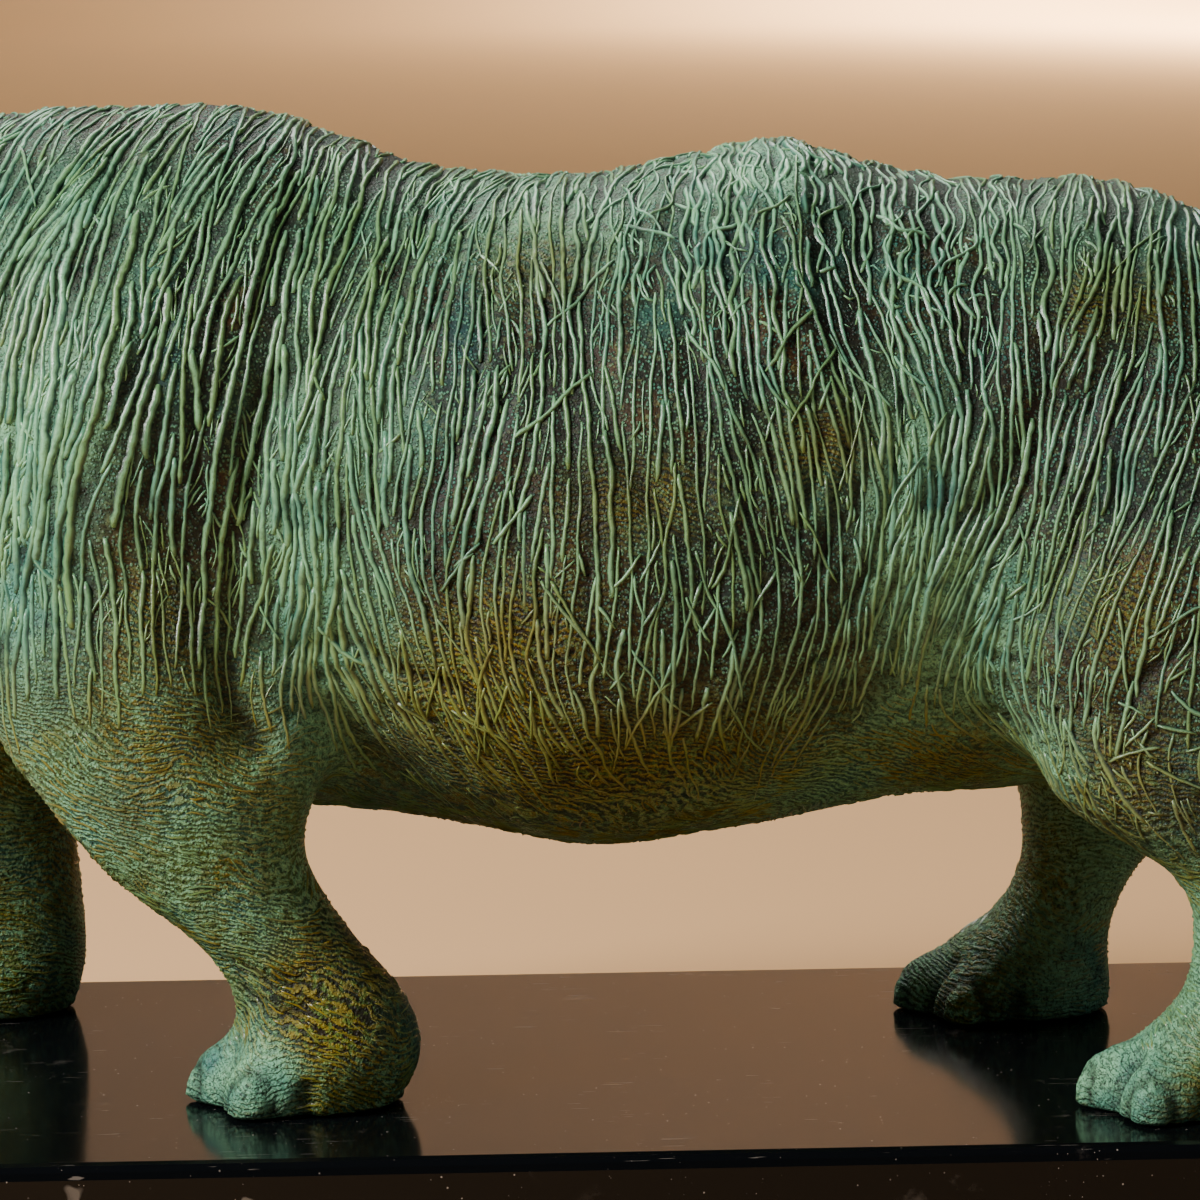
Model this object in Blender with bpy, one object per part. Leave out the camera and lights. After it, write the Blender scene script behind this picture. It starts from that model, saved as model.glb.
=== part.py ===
"""A bronze rhinoceros walking on a polished marble plinth.

The figure is one casting, from the horn to the tail, and stands on its four soles. It is drawn in its own frame:
s runs along the body from the head (negative) to the tail, t runs sideways with the leading side negative, and
z is the height above the soles. One drawing unit is a millimetre when the figure has its real height.
Lengths outside the drawing are metres. +Z is up, the head points along -X, and the origin is the centre of the
plinth's underside.
"""

import math

import bmesh
import bpy
import numpy as np
from mathutils import Matrix, Vector

# Driving sizes in metres
SHOULDER_HEIGHT = 0.192
PLINTH_THICKNESS = 0.025
PLINTH_SIDE_MARGIN = 0.0065
PLINTH_END_MARGIN = 0.022
PLINTH_ARRIS = 0.0028
SOLE_GAP = 0.0003

# How the figure stands on the plinth: its heading and how far it stands off the plinth's centre
HEADING = math.radians(5)
STEP_ALONG = 0.006
STEP_BACK = 0.0035

# The drawing's scale and the stages of the surface, in drawing units
DRAWN_HEIGHT = 192.0
UNIT = SHOULDER_HEIGHT / DRAWN_HEIGHT
COARSE_VOXEL = 2.4
FINE_VOXEL = 1.6
FIGURE_TRIANGLES = 8800
RING_SIDES = 28
SOLE_DEPTH = 5.0

# Trunk: s, height of the back, height of the belly, half width, height of the widest point
TRUNK = [
    (-150, 166, 96, 33, 128),
    (-138, 182, 80, 43, 125),
    (-118, 190.5, 66, 50, 120),
    (-94, 192, 57, 53, 117),
    (-68, 192, 52, 52, 112),
    (-49, 186, 50, 50, 108),
    (-29, 179.6, 47.6, 55, 102),
    (-2, 178.6, 42.8, 60, 97),
    (20, 182.4, 45.6, 59.5, 98),
    (36, 185.8, 48, 57.5, 102),
    (60, 179, 53, 52.5, 108),
    (80, 177.2, 54, 51, 112),
    (99, 177.5, 57, 51, 114),
    (118.5, 171, 62, 48, 115),
    (134, 160.5, 74, 41, 116),
    (146, 144, 88, 29, 116),
    (153, 130, 99, 17, 116),
]

# Neck: s, height of the centre line, reach above, below and to the sides, slope of the neck there in degrees
NECK = [
    (-112, 128, 60, 58, 48, 4),
    (-134, 133, 54, 54, 45, 12),
    (-152, 133, 47, 49, 41, 20),
    (-168, 129, 40, 44, 37, 28),
    (-184, 121, 32, 40, 33, 36),
]

# Head: distance along the skull from the poll, reach above, below and to the sides
HEAD_ORIGIN = (-166, 138)
HEAD_SLOPE = math.radians(41)
HEAD = [
    (-22, 20, 32, 24),
    (-8, 25, 39, 30),
    (10, 27, 44, 34),
    (28, 26, 44, 34.5),
    (46, 22, 40, 31.5),
    (64, 20.5, 35, 28),
    (82, 22, 31, 26.5),
    (98, 24.5, 29.5, 27.5),
    (112, 22.5, 29, 29),
    (123, 16.5, 26, 28),
    (130, 7, 16, 22),
]

# Legs: z, foremost s, rearmost s, centre t and half width. Below the ankle the last rows are the foot
LEADING_FORE = [
    (138, -112, -74, -20, 13),
    (124, -119, -65, -26, 18.5),
    (110, -124, -58, -30, 22),
    (96, -127, -54, -33, 24),
    (84, -124, -51, -36, 23.5),
    (70, -116, -49, -38, 22),
    (62, -110, -52, -39, 20.5),
    (55, -104, -55, -40, 19),
    (48, -98.5, -55, -40, 17.5),
    (41, -91, -51.5, -40, 16.5),
    (35, -82.5, -47.5, -40, 15.5),
    (30, -77, -43.5, -40, 15),
    (25, -73, -39, -40, 15),
    (20, -70.5, -35, -40, 15.5),
    (15, -70.5, -33, -40, 16.5),
    (11, -73.5, -32.5, -40, 17.5),
    (7, -77, -33, -40, 18),
    (3, -79.5, -35, -40, 17.5),
    (0, -80, -38, -40, 16.5),
]
TRAILING_FORE = [
    (138, -130, -88, 20, 13),
    (124, -136, -84, 26, 18.5),
    (110, -142, -83, 30, 22),
    (96, -147, -88, 33, 23),
    (80, -151, -96, 37, 22.5),
    (66, -151, -102, 39, 20.5),
    (54, -149, -107, 40, 18.5),
    (42, -146, -110, 40, 16.5),
    (32, -144, -109.5, 40, 15.5),
    (22, -143, -108.5, 40, 15.5),
    (15, -146, -108, 40, 16.5),
    (9, -153, -108, 40, 17.5),
    (4, -157, -109, 40, 18),
    (0, -157, -112, 40, 16.5),
]
LEADING_HIND = [
    (142, 96, 132, -20, 13),
    (126, 86, 146, -29, 21),
    (108, 77, 153, -34, 24.5),
    (90, 76, 154, -37, 25),
    (76, 81, 152, -40, 23.5),
    (66, 84, 149.5, -42, 21.5),
    (58, 90, 150, -43, 19.5),
    (51, 102, 152.5, -43, 17.5),
    (44, 112.5, 151, -43, 16),
    (38, 115, 146.5, -43, 14.5),
    (31, 115, 142.5, -43, 13.5),
    (23, 113.5, 140, -43, 13.5),
    (18, 109.5, 139, -43, 14.5),
    (12, 102.5, 138.5, -43, 16),
    (7, 97, 138.5, -43, 17),
    (3, 93.5, 138, -43, 17),
    (0, 93, 136, -43, 15.5),
]
TRAILING_HIND = [
    (142, 92, 130, 20, 13),
    (126, 80, 144, 29, 21),
    (104, 71, 150, 34, 24.5),
    (84, 72, 147, 38, 24),
    (70, 77, 138, 40, 21.5),
    (60, 81, 130, 41, 19),
    (52, 83, 127, 41, 17.5),
    (44, 84.5, 122.5, 41, 16),
    (33, 85, 113, 41, 14),
    (27, 83.5, 109, 41, 13.5),
    (21, 79.5, 106, 41, 14),
    (14, 69.5, 104.5, 41, 16),
    (8, 62, 105.5, 41, 17.5),
    (3, 59.5, 106, 41, 17.5),
    (0, 59.5, 104, 41, 16),
]

# Muscles: centre (s, t, z), radii and the forward lean in degrees. Each is laid on both sides of the trunk
MUSCLES = [
    ((-96, 30, 118), (28, 25.5, 50), 8),
    ((-2, 12, 96), (52, 49, 50), 0),
    ((114, 27, 108), (35, 26, 50), -10),
]

# Horns: distance along the skull, base radius, length, lean of the root and curl back towards the tip in degrees
FRONT_HORN = (102, 15.5, 78, 6, 62)
REAR_HORN = (72, 11.5, 34, -2, 24)
HORN_RINGS = 12
HORN_SUNK = 8
HORN_TIP = 1.5
HORN_FLARE = 0.18

# Ears: the root on the skull, length, half width and thickness, and how far they stand apart and lean back
EAR_ROOT = (2, 23, 16)
EAR_LENGTH = 35
EAR_HALF_WIDTH = 12.5
EAR_THICKNESS = 8.5
EAR_RINGS = 10
EAR_SPREAD = math.radians(30)
EAR_BACK = math.radians(12)

# Eyes, brows, nostril rims and lip: centre on the head (along, across, above) and radii along, across and up
EYE = ((50, 27, 7.5), (5.4, 4.2, 4.4))
BROW = ((47, 23.5, 14.5), (14, 6.5, 4.2))
NOSTRIL_RIM = ((111, 20, 6), (12, 9, 12))
LIP = ((115, 0, -17), (15, 23, 12))

# Tail: s, t, z and radius, from the root over the rump to the tuft
TAIL = [
    (126, 0, 156, 9),
    (141, 0, 154, 8),
    (151, 0, 145, 6.2),
    (156, 1, 132, 5),
    (157.5, 2, 117, 4.4),
    (157, 3, 103, 4.2),
    (156, 4, 94, 5),
    (155, 4, 85, 5.6),
    (154, 4, 77, 3.6),
    (153.5, 4, 73, 1.6),
]

# Toes: how they fan out from straight ahead in degrees, their radii, how far each is set into the foot as a
# share of its own length and width, their height and how far they tip down
TOE_ANGLES = (-62, 0, 62)
TOE_RADII = (12.0, 8.4, 9.5)
TOE_INSET = (0.86, 0.84)
TOE_HEIGHT = 3.5
TOE_TIP_DOWN = math.radians(14)

# Clefts between the toes: their angles in degrees, and their way up the foot as shares of its reach and heights
CLEFT_ANGLES = (-33, 33)
CLEFT_WAY = [(1.08, 0), (0.98, 8), (0.72, 15)]
CLEFT_DEPTH = 3.0
CLEFT_WIDTH = 2.4

# Folds round the neck: s and z of the centre, lean in degrees and reach
NECK_FOLDS = [(-139, 130, 14, 60), (-157, 128, 26, 52)]
NECK_FOLD_OVAL = (0.72, 0.86)
NECK_FOLD_STEPS = 24
NECK_FOLD_DEPTH = 2.4
NECK_FOLD_WIDTH = 13

# Furrows of one side: their way over the skin as (s, t, z), depth and width
SIDE_FURROWS = [
    ([(-60, 52, 152), (-67, 58, 112), (-66, 56, 74)], 3.4, 8),
    ([(91, 50, 140), (74, 56, 108), (71, 56, 88)], 2.6, 7),
    ([(71, 56, 88), (74, 52, 76), (82, 46, 66)], 2.6, 4.5),
]

# Furrows of one side of the head: their way as (along, across, above), depth and width
HEAD_FURROWS = [
    ([(134, 0, -7), (122, 27, -8), (96, 29, -6)], 2.8, 2.6),
    ([(118, 26, 6), (110, 27, 10)], 4.6, 3.4),
]

# The hollow of the ear: how far it starts and ends from the ear's ends, where it lies, its depth and width
EAR_HOLLOW_ENDS = (11, 10)
EAR_HOLLOW_SIDE = (-3.4, 2.0, 1.0)
EAR_HOLLOW_DEPTH = 3.6
EAR_HOLLOW_WIDTH = 5

# How often the skin is smoothed after each fusing
MASSES_SMOOTHING = 16
SKIN_SMOOTHING = 4

Row = tuple[float, ...]


def clear_scene() -> None:
    """Empties the scene."""
    for obj in list(bpy.data.objects):
        bpy.data.objects.remove(obj)


def material(name: str, colour: Row, roughness: float, metallic: float) -> bpy.types.Material:
    """A plain material of one colour."""
    made = bpy.data.materials.new(name)
    made.use_nodes = True
    shader = made.node_tree.nodes["Principled BSDF"]
    shader.inputs["Base Color"].default_value = (*colour, 1)
    shader.inputs["Roughness"].default_value = roughness
    shader.inputs["Metallic"].default_value = metallic
    return made


def smooth_rows(rows: list[Row], steps: int) -> np.ndarray:
    """Rows between the drawn ones, on a Catmull-Rom curve, with this many steps from each row to the next."""
    drawn = np.array(rows, float)
    before = np.vstack([2 * drawn[0] - drawn[1], drawn[:-1]])
    after = np.vstack([drawn[1:], 2 * drawn[-1] - drawn[-2]])
    slope = (after - before) / 2
    made = []
    for row in range(len(drawn) - 1):
        for step in range(steps):
            u = step / steps
            made.append(
                (2 * u**3 - 3 * u**2 + 1) * drawn[row]
                + (u**3 - 2 * u**2 + u) * slope[row]
                + (3 * u**2 - 2 * u**3) * drawn[row + 1]
                + (u**3 - u**2) * slope[row + 1]
            )
    return np.array([*made, drawn[-1]])


def ring(centre: Vector, side: Vector, up: Vector, half_width: float, above: float, below: float) -> list[Vector]:
    """An egg-shaped ring of points: half an ellipse above its centre and half of another below."""
    points = []
    for step in range(RING_SIDES):
        angle = math.tau * step / RING_SIDES
        rise = math.sin(angle)
        reach = above if rise > 0 else below
        points.append(centre + side * (math.cos(angle) * half_width) + up * (rise * reach))
    return points


def loft(shape: bmesh.types.BMesh, rings: list[list[Vector]]) -> None:
    """Adds a closed tube through the rings to the shape, with a flat cap at each end."""
    loops = [[shape.verts.new(point) for point in points] for points in rings]
    for lower, upper in zip(loops, loops[1:]):
        for step, corner in enumerate(lower):
            following = (step + 1) % len(lower)
            shape.faces.new((corner, lower[following], upper[following], upper[step]))
    shape.faces.new(loops[0][::-1])
    shape.faces.new(loops[-1])


def ellipsoid(shape: bmesh.types.BMesh, centre: Row, radii: Row, turn: Matrix = Matrix.Identity(4)) -> None:
    """Adds a closed ellipsoid, turned about its centre, to the shape."""
    place = Matrix.Translation(Vector(centre)) @ turn @ Matrix.Diagonal((*radii, 1))
    bmesh.ops.create_icosphere(shape, subdivisions=3, radius=1, matrix=place)


def add_trunk(shape: bmesh.types.BMesh) -> None:
    """Adds the barrel of the body, from the chest to the rump."""
    rings = []
    for s, back, belly, half_width, widest in smooth_rows(TRUNK, 3):
        centre = Vector((s, 0, widest))
        rings.append(ring(centre, Vector((0, 1, 0)), Vector((0, 0, 1)), half_width, back - widest, widest - belly))
    loft(shape, rings)


def add_neck(shape: bmesh.types.BMesh) -> None:
    """Adds the neck, whose rings lean forward more towards the head."""
    rings = []
    for s, z, above, below, half_width, slope in smooth_rows(NECK, 3):
        lean = math.radians(slope)
        up = Vector((-math.sin(lean), 0, math.cos(lean)))
        rings.append(ring(Vector((s, 0, z)), Vector((0, 1, 0)), up, half_width, above, below))
    loft(shape, rings)


def head_point(along: float, across: float, above: float) -> Vector:
    """A point of the head: along the skull from the poll, across it and above its axis."""
    forward = Vector((-math.cos(HEAD_SLOPE), 0, -math.sin(HEAD_SLOPE)))
    up = Vector((-math.sin(HEAD_SLOPE), 0, math.cos(HEAD_SLOPE)))
    origin = Vector((HEAD_ORIGIN[0], 0, HEAD_ORIGIN[1]))
    return origin + forward * along + up * above + Vector((0, across, 0))


def add_head(shape: bmesh.types.BMesh) -> None:
    """Adds the skull and the muzzle."""
    up = head_point(0, 0, 1) - head_point(0, 0, 0)
    rings = []
    for along, above, below, half_width in smooth_rows(HEAD, 3):
        rings.append(ring(head_point(along, 0, 0), Vector((0, 1, 0)), up, half_width, above, below))
    loft(shape, rings)


def add_leg(shape: bmesh.types.BMesh, rows: list[Row]) -> None:
    """Adds a leg, from inside the trunk down to a little below its sole."""
    rings = []
    for z, front, rear, t, half_width in smooth_rows([*rows, (-SOLE_DEPTH, *rows[-1][1:])], 2):
        half_length = (rear - front) / 2
        centre = Vector(((front + rear) / 2, t, z))
        rings.append(ring(centre, Vector((0, 1, 0)), Vector((1, 0, 0)), half_width, half_length, half_length))
    loft(shape, rings)


def add_muscles(shape: bmesh.types.BMesh) -> None:
    """Adds the shoulders, the sides of the barrel and the haunches."""
    for (s, t, z), radii, lean in MUSCLES:
        turn = Matrix.Rotation(math.radians(lean), 4, "Y")
        for side in (-1, 1):
            ellipsoid(shape, (s, side * t, z), radii, turn)


def add_horn(
    shape: bmesh.types.BMesh, along: float, radius: float, length: float, lean: float, curl: float
) -> None:
    """Adds a tapering horn that rises from the skull and curls back towards the brow."""
    direction = math.pi / 2 + HEAD_SLOPE + math.radians(lean)
    step = length / (HORN_RINGS - 1)
    rings = []
    centre = head_point(along, 0, HORN_SUNK)
    for number in range(HORN_RINGS):
        share = number / (HORN_RINGS - 1)
        angle = direction - math.radians(curl) * share
        axis = Vector((math.cos(angle), 0, math.sin(angle)))
        fore = Vector((-axis.z, 0, axis.x))
        thick = radius * (1 - share) ** 0.72 * (1 + HORN_FLARE * math.exp(-share * 9)) + HORN_TIP
        rings.append(ring(centre, Vector((0, 1, 0)), fore, thick * 0.86, thick, thick))
        centre = centre + axis * step
    loft(shape, rings)


def ear_axis(side: int) -> Vector:
    """The direction from an ear's root to its tip."""
    return Vector((math.sin(EAR_BACK), side * math.sin(EAR_SPREAD), math.cos(EAR_SPREAD))).normalized()


def ear_root(side: int) -> Vector:
    """The place on the skull that an ear grows from."""
    along, across, above = EAR_ROOT
    return head_point(along, side * across, above)


def add_ears(shape: bmesh.types.BMesh) -> None:
    """Adds the two ears: leaves that narrow to a point, cupped forward."""
    for side in (-1, 1):
        axis = ear_axis(side)
        face = Vector((-1, side * 0.55, 0.25))
        face = (face - axis * face.dot(axis)).normalized()
        rings = []
        for share in np.linspace(0, 1, EAR_RINGS):
            width = EAR_HALF_WIDTH * (0.5 + 0.75 * math.sin(math.pi * share**0.8) - 0.42 * share)
            thin = EAR_THICKNESS * (1 - 0.62 * share)
            cup = face * (0.16 * EAR_HALF_WIDTH * math.sin(math.pi * share))
            centre = ear_root(side) + axis * (EAR_LENGTH * share) - cup
            rings.append(ring(centre, axis.cross(face), face, max(width, 2), thin * 0.6, thin * 0.8))
        loft(shape, rings)


def add_tail(shape: bmesh.types.BMesh) -> None:
    """Adds the tail, which hangs down the buttocks and ends in a tuft."""
    rings = []
    rows = smooth_rows(TAIL, 3)
    for number, (s, t, z, radius) in enumerate(rows):
        ahead = rows[min(number + 1, len(rows) - 1)]
        behind = rows[max(number - 1, 0)]
        axis = Vector((ahead - behind)[:3]).normalized()
        side = Vector((0, 1, 0))
        rings.append(ring(Vector((s, t, z)), side, axis.cross(side), radius, radius, radius))
    loft(shape, rings)


def foot_of(rows: list[Row]) -> Row:
    """The foot at the end of a leg: centre s, t, half length and half width, at the height of the toes."""
    z, front, rear, t, half_width = rows[-2]
    return (front + rear) / 2, t, (rear - front) / 2, half_width


def add_toes(shape: bmesh.types.BMesh, rows: list[Row]) -> None:
    """Adds the three toes of a foot."""
    s, t, half_length, half_width = foot_of(rows)
    long, wide, high = TOE_RADII
    for degrees in TOE_ANGLES:
        angle = math.radians(degrees)
        centre = (
            s - math.cos(angle) * (half_length - TOE_INSET[0] * long),
            t + math.sin(angle) * (half_width - TOE_INSET[1] * wide),
            TOE_HEIGHT,
        )
        turn = Matrix.Rotation(-angle, 4, "Z") @ Matrix.Rotation(-TOE_TIP_DOWN, 4, "Y")
        ellipsoid(shape, centre, (long, wide, high), turn)


def add_face(shape: bmesh.types.BMesh) -> None:
    """Adds the eyes, brows, lip and nostril rims, as ellipsoids half sunk in the head."""
    tilt = Matrix.Rotation(-HEAD_SLOPE, 4, "Y")
    for (along, across, above), radii in (EYE, BROW, NOSTRIL_RIM):
        for side in (-1, 1):
            ellipsoid(shape, head_point(along, side * across, above), radii, tilt)
    ellipsoid(shape, head_point(*LIP[0]), LIP[1], tilt)


def mesh_of(name: str, shape: bmesh.types.BMesh) -> bpy.types.Mesh:
    """Turns a finished shape into a mesh."""
    bmesh.ops.recalc_face_normals(shape, faces=shape.faces)
    mesh = bpy.data.meshes.new(name)
    shape.to_mesh(mesh)
    shape.free()
    return mesh


def fused(name: str, shape: bmesh.types.BMesh, voxel: float, smoothing: int) -> bpy.types.Mesh:
    """The shape's overlapping bodies as one skin, with its creases softened."""
    obj = bpy.data.objects.new(name, mesh_of(name, shape))
    bpy.context.scene.collection.objects.link(obj)
    remesh = obj.modifiers.new("skin", "REMESH")
    remesh.mode = "VOXEL"
    remesh.voxel_size = voxel
    soften = obj.modifiers.new("soften", "SMOOTH")
    soften.factor = 0.5
    soften.iterations = smoothing
    graph = bpy.context.evaluated_depsgraph_get()
    mesh = bpy.data.meshes.new_from_object(obj.evaluated_get(graph))
    bpy.data.objects.remove(obj)
    return mesh


def distance_to(points: np.ndarray, way: list[Vector]) -> np.ndarray:
    """Distance of each point from a way of straight stretches."""
    nearest = np.full(len(points), np.inf)
    for start, end in zip(way, way[1:]):
        origin = np.array(start, float)
        run = np.array(end, float) - origin
        share = np.clip(((points - origin) @ run) / (run @ run), 0, 1)
        nearest = np.minimum(nearest, np.linalg.norm(points - origin - share[:, None] * run, axis=1))
    return nearest


def press(points: np.ndarray, normals: np.ndarray, way: list[Vector], depth: float, width: float) -> None:
    """Presses a furrow into the skin along a way."""
    reach = np.exp(-((distance_to(points, way) / width) ** 2))
    points -= normals * (reach * depth)[:, None]


def neck_fold(s: float, z: float, slope: float, reach: float) -> list[Vector]:
    """The way of a fold round the neck, as a leaning oval."""
    lean = math.radians(slope)
    up = Vector((-math.sin(lean), 0, math.cos(lean)))
    wide, high = NECK_FOLD_OVAL
    way = []
    for angle in np.linspace(0, math.tau, NECK_FOLD_STEPS + 1):
        sideways = Vector((0, math.cos(angle) * reach * wide, 0))
        way.append(Vector((s, 0, z)) + sideways + up * (math.sin(angle) * reach * high))
    return way


def toe_clefts(rows: list[Row]) -> list[list[Vector]]:
    """The ways of the clefts between a foot's toes, from the sole up to the ankle."""
    s, t, half_length, half_width = foot_of(rows)
    ways = []
    for degrees in CLEFT_ANGLES:
        angle = math.radians(degrees)
        out = Vector((-math.cos(angle) * half_length, math.sin(angle) * half_width, 0))
        ways.append([Vector((s, t, height)) + out * share for share, height in CLEFT_WAY])
    return ways


def furrows() -> list[tuple[list[Vector], float, float]]:
    """Every furrow of the figure: its way over the skin, its depth and its width."""
    found = [(neck_fold(*fold), NECK_FOLD_DEPTH, NECK_FOLD_WIDTH) for fold in NECK_FOLDS]
    start, end = EAR_HOLLOW_ENDS
    for side in (-1, 1):
        for way, depth, width in SIDE_FURROWS:
            found.append(([Vector((s, side * t, z)) for s, t, z in way], depth, width))
        for way, depth, width in HEAD_FURROWS:
            found.append(([head_point(along, side * t, above) for along, t, above in way], depth, width))
        x, y, z = EAR_HOLLOW_SIDE
        hollow = ear_root(side) + Vector((x, side * y, z))
        axis = ear_axis(side)
        way = [hollow + axis * start, hollow + axis * (EAR_LENGTH - end)]
        found.append((way, EAR_HOLLOW_DEPTH, EAR_HOLLOW_WIDTH))
    for rows in (LEADING_FORE, TRAILING_FORE, LEADING_HIND, TRAILING_HIND):
        for way in toe_clefts(rows):
            found.append((way, CLEFT_DEPTH, CLEFT_WIDTH))
    return found


def carve(mesh: bpy.types.Mesh) -> None:
    """Presses the folds, the mouth, the nostrils, the hollows of the ears and the toes' clefts into the skin."""
    points = np.empty(len(mesh.vertices) * 3, np.float32)
    mesh.vertices.foreach_get("co", points)
    points = points.reshape(-1, 3).astype(float)
    normals = np.empty(len(mesh.vertices) * 3, np.float32)
    mesh.vertex_normals.foreach_get("vector", normals)
    normals = normals.reshape(-1, 3).astype(float)
    for way, depth, width in furrows():
        press(points, normals, way, depth, width)
    mesh.vertices.foreach_set("co", points.astype(np.float32).ravel())
    mesh.update()


def cut_soles(mesh: bpy.types.Mesh) -> None:
    """Cuts the feet off flat at the height of the soles."""
    shape = bmesh.new()
    shape.from_mesh(mesh)
    everything = shape.verts[:] + shape.edges[:] + shape.faces[:]
    bmesh.ops.bisect_plane(shape, geom=everything, plane_co=(0, 0, 0), plane_no=(0, 0, -1), clear_outer=True)
    open_edges = [edge for edge in shape.edges if edge.is_boundary]
    bmesh.ops.holes_fill(shape, edges=open_edges)
    bmesh.ops.triangulate(shape, faces=shape.faces)
    shape.to_mesh(mesh)
    shape.free()


def figure_mesh() -> bpy.types.Mesh:
    """The whole figure in drawing units, before it is thinned out."""
    legs = (LEADING_FORE, TRAILING_FORE, LEADING_HIND, TRAILING_HIND)
    masses = bmesh.new()
    add_trunk(masses)
    add_neck(masses)
    add_head(masses)
    add_muscles(masses)
    for rows in legs:
        add_leg(masses, rows)
    details = bmesh.new()
    details.from_mesh(fused("masses", masses, COARSE_VOXEL, MASSES_SMOOTHING))
    for rows in legs:
        add_toes(details, rows)
    add_horn(details, *FRONT_HORN)
    add_horn(details, *REAR_HORN)
    add_ears(details)
    add_tail(details)
    add_face(details)
    skin = fused("skin", details, FINE_VOXEL, SKIN_SMOOTHING)
    carve(skin)
    cut_soles(skin)
    return skin


def on_plinth() -> Matrix:
    """How the drawing stands on the plinth's top."""
    place = Matrix.Translation((STEP_ALONG, STEP_BACK, PLINTH_THICKNESS + SOLE_GAP))
    return place @ Matrix.Rotation(-HEADING, 4, "Z") @ Matrix.Scale(UNIT, 4)


def make_rhinoceros(bronze: bpy.types.Material) -> bpy.types.Object:
    """The whole casting, standing on its soles."""
    mesh = figure_mesh()
    mesh.transform(on_plinth())
    mesh.name = "rhinoceros"
    obj = bpy.data.objects.new("rhinoceros", mesh)
    bpy.context.scene.collection.objects.link(obj)
    thin = obj.modifiers.new("thin", "DECIMATE")
    thin.ratio = FIGURE_TRIANGLES / len(mesh.polygons)
    mesh.materials.clear()
    mesh.materials.append(bronze)
    mesh.shade_smooth()
    return obj


def footprint() -> tuple[float, float]:
    """How far the soles reach from the plinth's centre, along it and across it."""
    reach_along, reach_across = 0.0, 0.0
    for rows in (LEADING_FORE, TRAILING_FORE, LEADING_HIND, TRAILING_HIND):
        s, t, half_length, half_width = foot_of(rows)
        for angle in np.linspace(0, math.tau, 48, endpoint=False):
            edge = Vector((s + math.cos(angle) * half_length, t + math.sin(angle) * half_width, 0))
            spot = on_plinth() @ edge
            reach_along = max(reach_along, abs(spot.x))
            reach_across = max(reach_across, abs(spot.y))
    return reach_along, reach_across


def make_plinth(marble: bpy.types.Material) -> bpy.types.Object:
    """A slab centred on the origin, long and wide enough for the feet and their margins."""
    reach_along, reach_across = footprint()
    half_length = reach_along + PLINTH_END_MARGIN
    half_width = reach_across + PLINTH_SIDE_MARGIN
    shape = bmesh.new()
    bmesh.ops.create_cube(shape, size=1)
    bmesh.ops.scale(shape, vec=(2 * half_length, 2 * half_width, PLINTH_THICKNESS), verts=shape.verts)
    bmesh.ops.translate(shape, vec=(0, 0, PLINTH_THICKNESS / 2), verts=shape.verts)
    obj = bpy.data.objects.new("plinth", mesh_of("plinth", shape))
    bpy.context.scene.collection.objects.link(obj)
    arris = obj.modifiers.new("arris", "BEVEL")
    arris.width = PLINTH_ARRIS
    arris.segments = 3
    obj.data.materials.append(marble)
    return obj


def main() -> None:
    """Builds the figure and its plinth."""
    clear_scene()
    make_rhinoceros(material("verdigris_bronze", (0.22, 0.36, 0.28), 0.6, 0.35))
    make_plinth(material("black_marble", (0.012, 0.011, 0.011), 0.12, 0.0))


if __name__ == "__main__":
    main()
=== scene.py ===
"""The looks of a patinated bronze rhinoceros on its black marble plinth.

The casting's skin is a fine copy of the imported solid. Wax threads, drops and lids lie on it as
half-round relief, laid evenly along a grain that runs down the flanks. Every surface has its own
patina or polish.
"""

import logging
import math
import random
from collections import deque
from collections.abc import Iterable, Sequence
from dataclasses import dataclass, field
from enum import Enum

import bmesh
import bpy
import numpy as np
from mathutils import Matrix, Vector, noise
from mathutils.bvhtree import BVHTree


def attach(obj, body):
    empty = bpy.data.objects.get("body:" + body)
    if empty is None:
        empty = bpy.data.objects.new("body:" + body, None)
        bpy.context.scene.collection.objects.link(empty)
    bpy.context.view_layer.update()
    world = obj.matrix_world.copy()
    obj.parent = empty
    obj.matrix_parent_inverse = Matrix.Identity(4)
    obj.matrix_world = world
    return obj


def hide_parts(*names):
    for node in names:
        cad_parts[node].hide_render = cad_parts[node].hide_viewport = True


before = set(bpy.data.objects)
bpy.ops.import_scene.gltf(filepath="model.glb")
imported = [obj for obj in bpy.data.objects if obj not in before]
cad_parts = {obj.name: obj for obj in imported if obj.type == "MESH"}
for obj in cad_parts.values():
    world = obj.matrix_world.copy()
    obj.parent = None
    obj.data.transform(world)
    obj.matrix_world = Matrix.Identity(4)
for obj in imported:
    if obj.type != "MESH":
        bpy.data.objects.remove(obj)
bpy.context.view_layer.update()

MM = 0.001
UP = Vector((0, 0, 1))

log = logging.getLogger("rhinoceros")

Colour = tuple[float, float, float]


def linear(red: float, green: float, blue: float) -> Colour:
    """The linear colour of a display colour, each channel from 0 to 1."""
    return tuple(((c + 0.055) / 1.055) ** 2.4 if c > 0.04045 else c / 12.92 for c in (red, green, blue))


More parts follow.
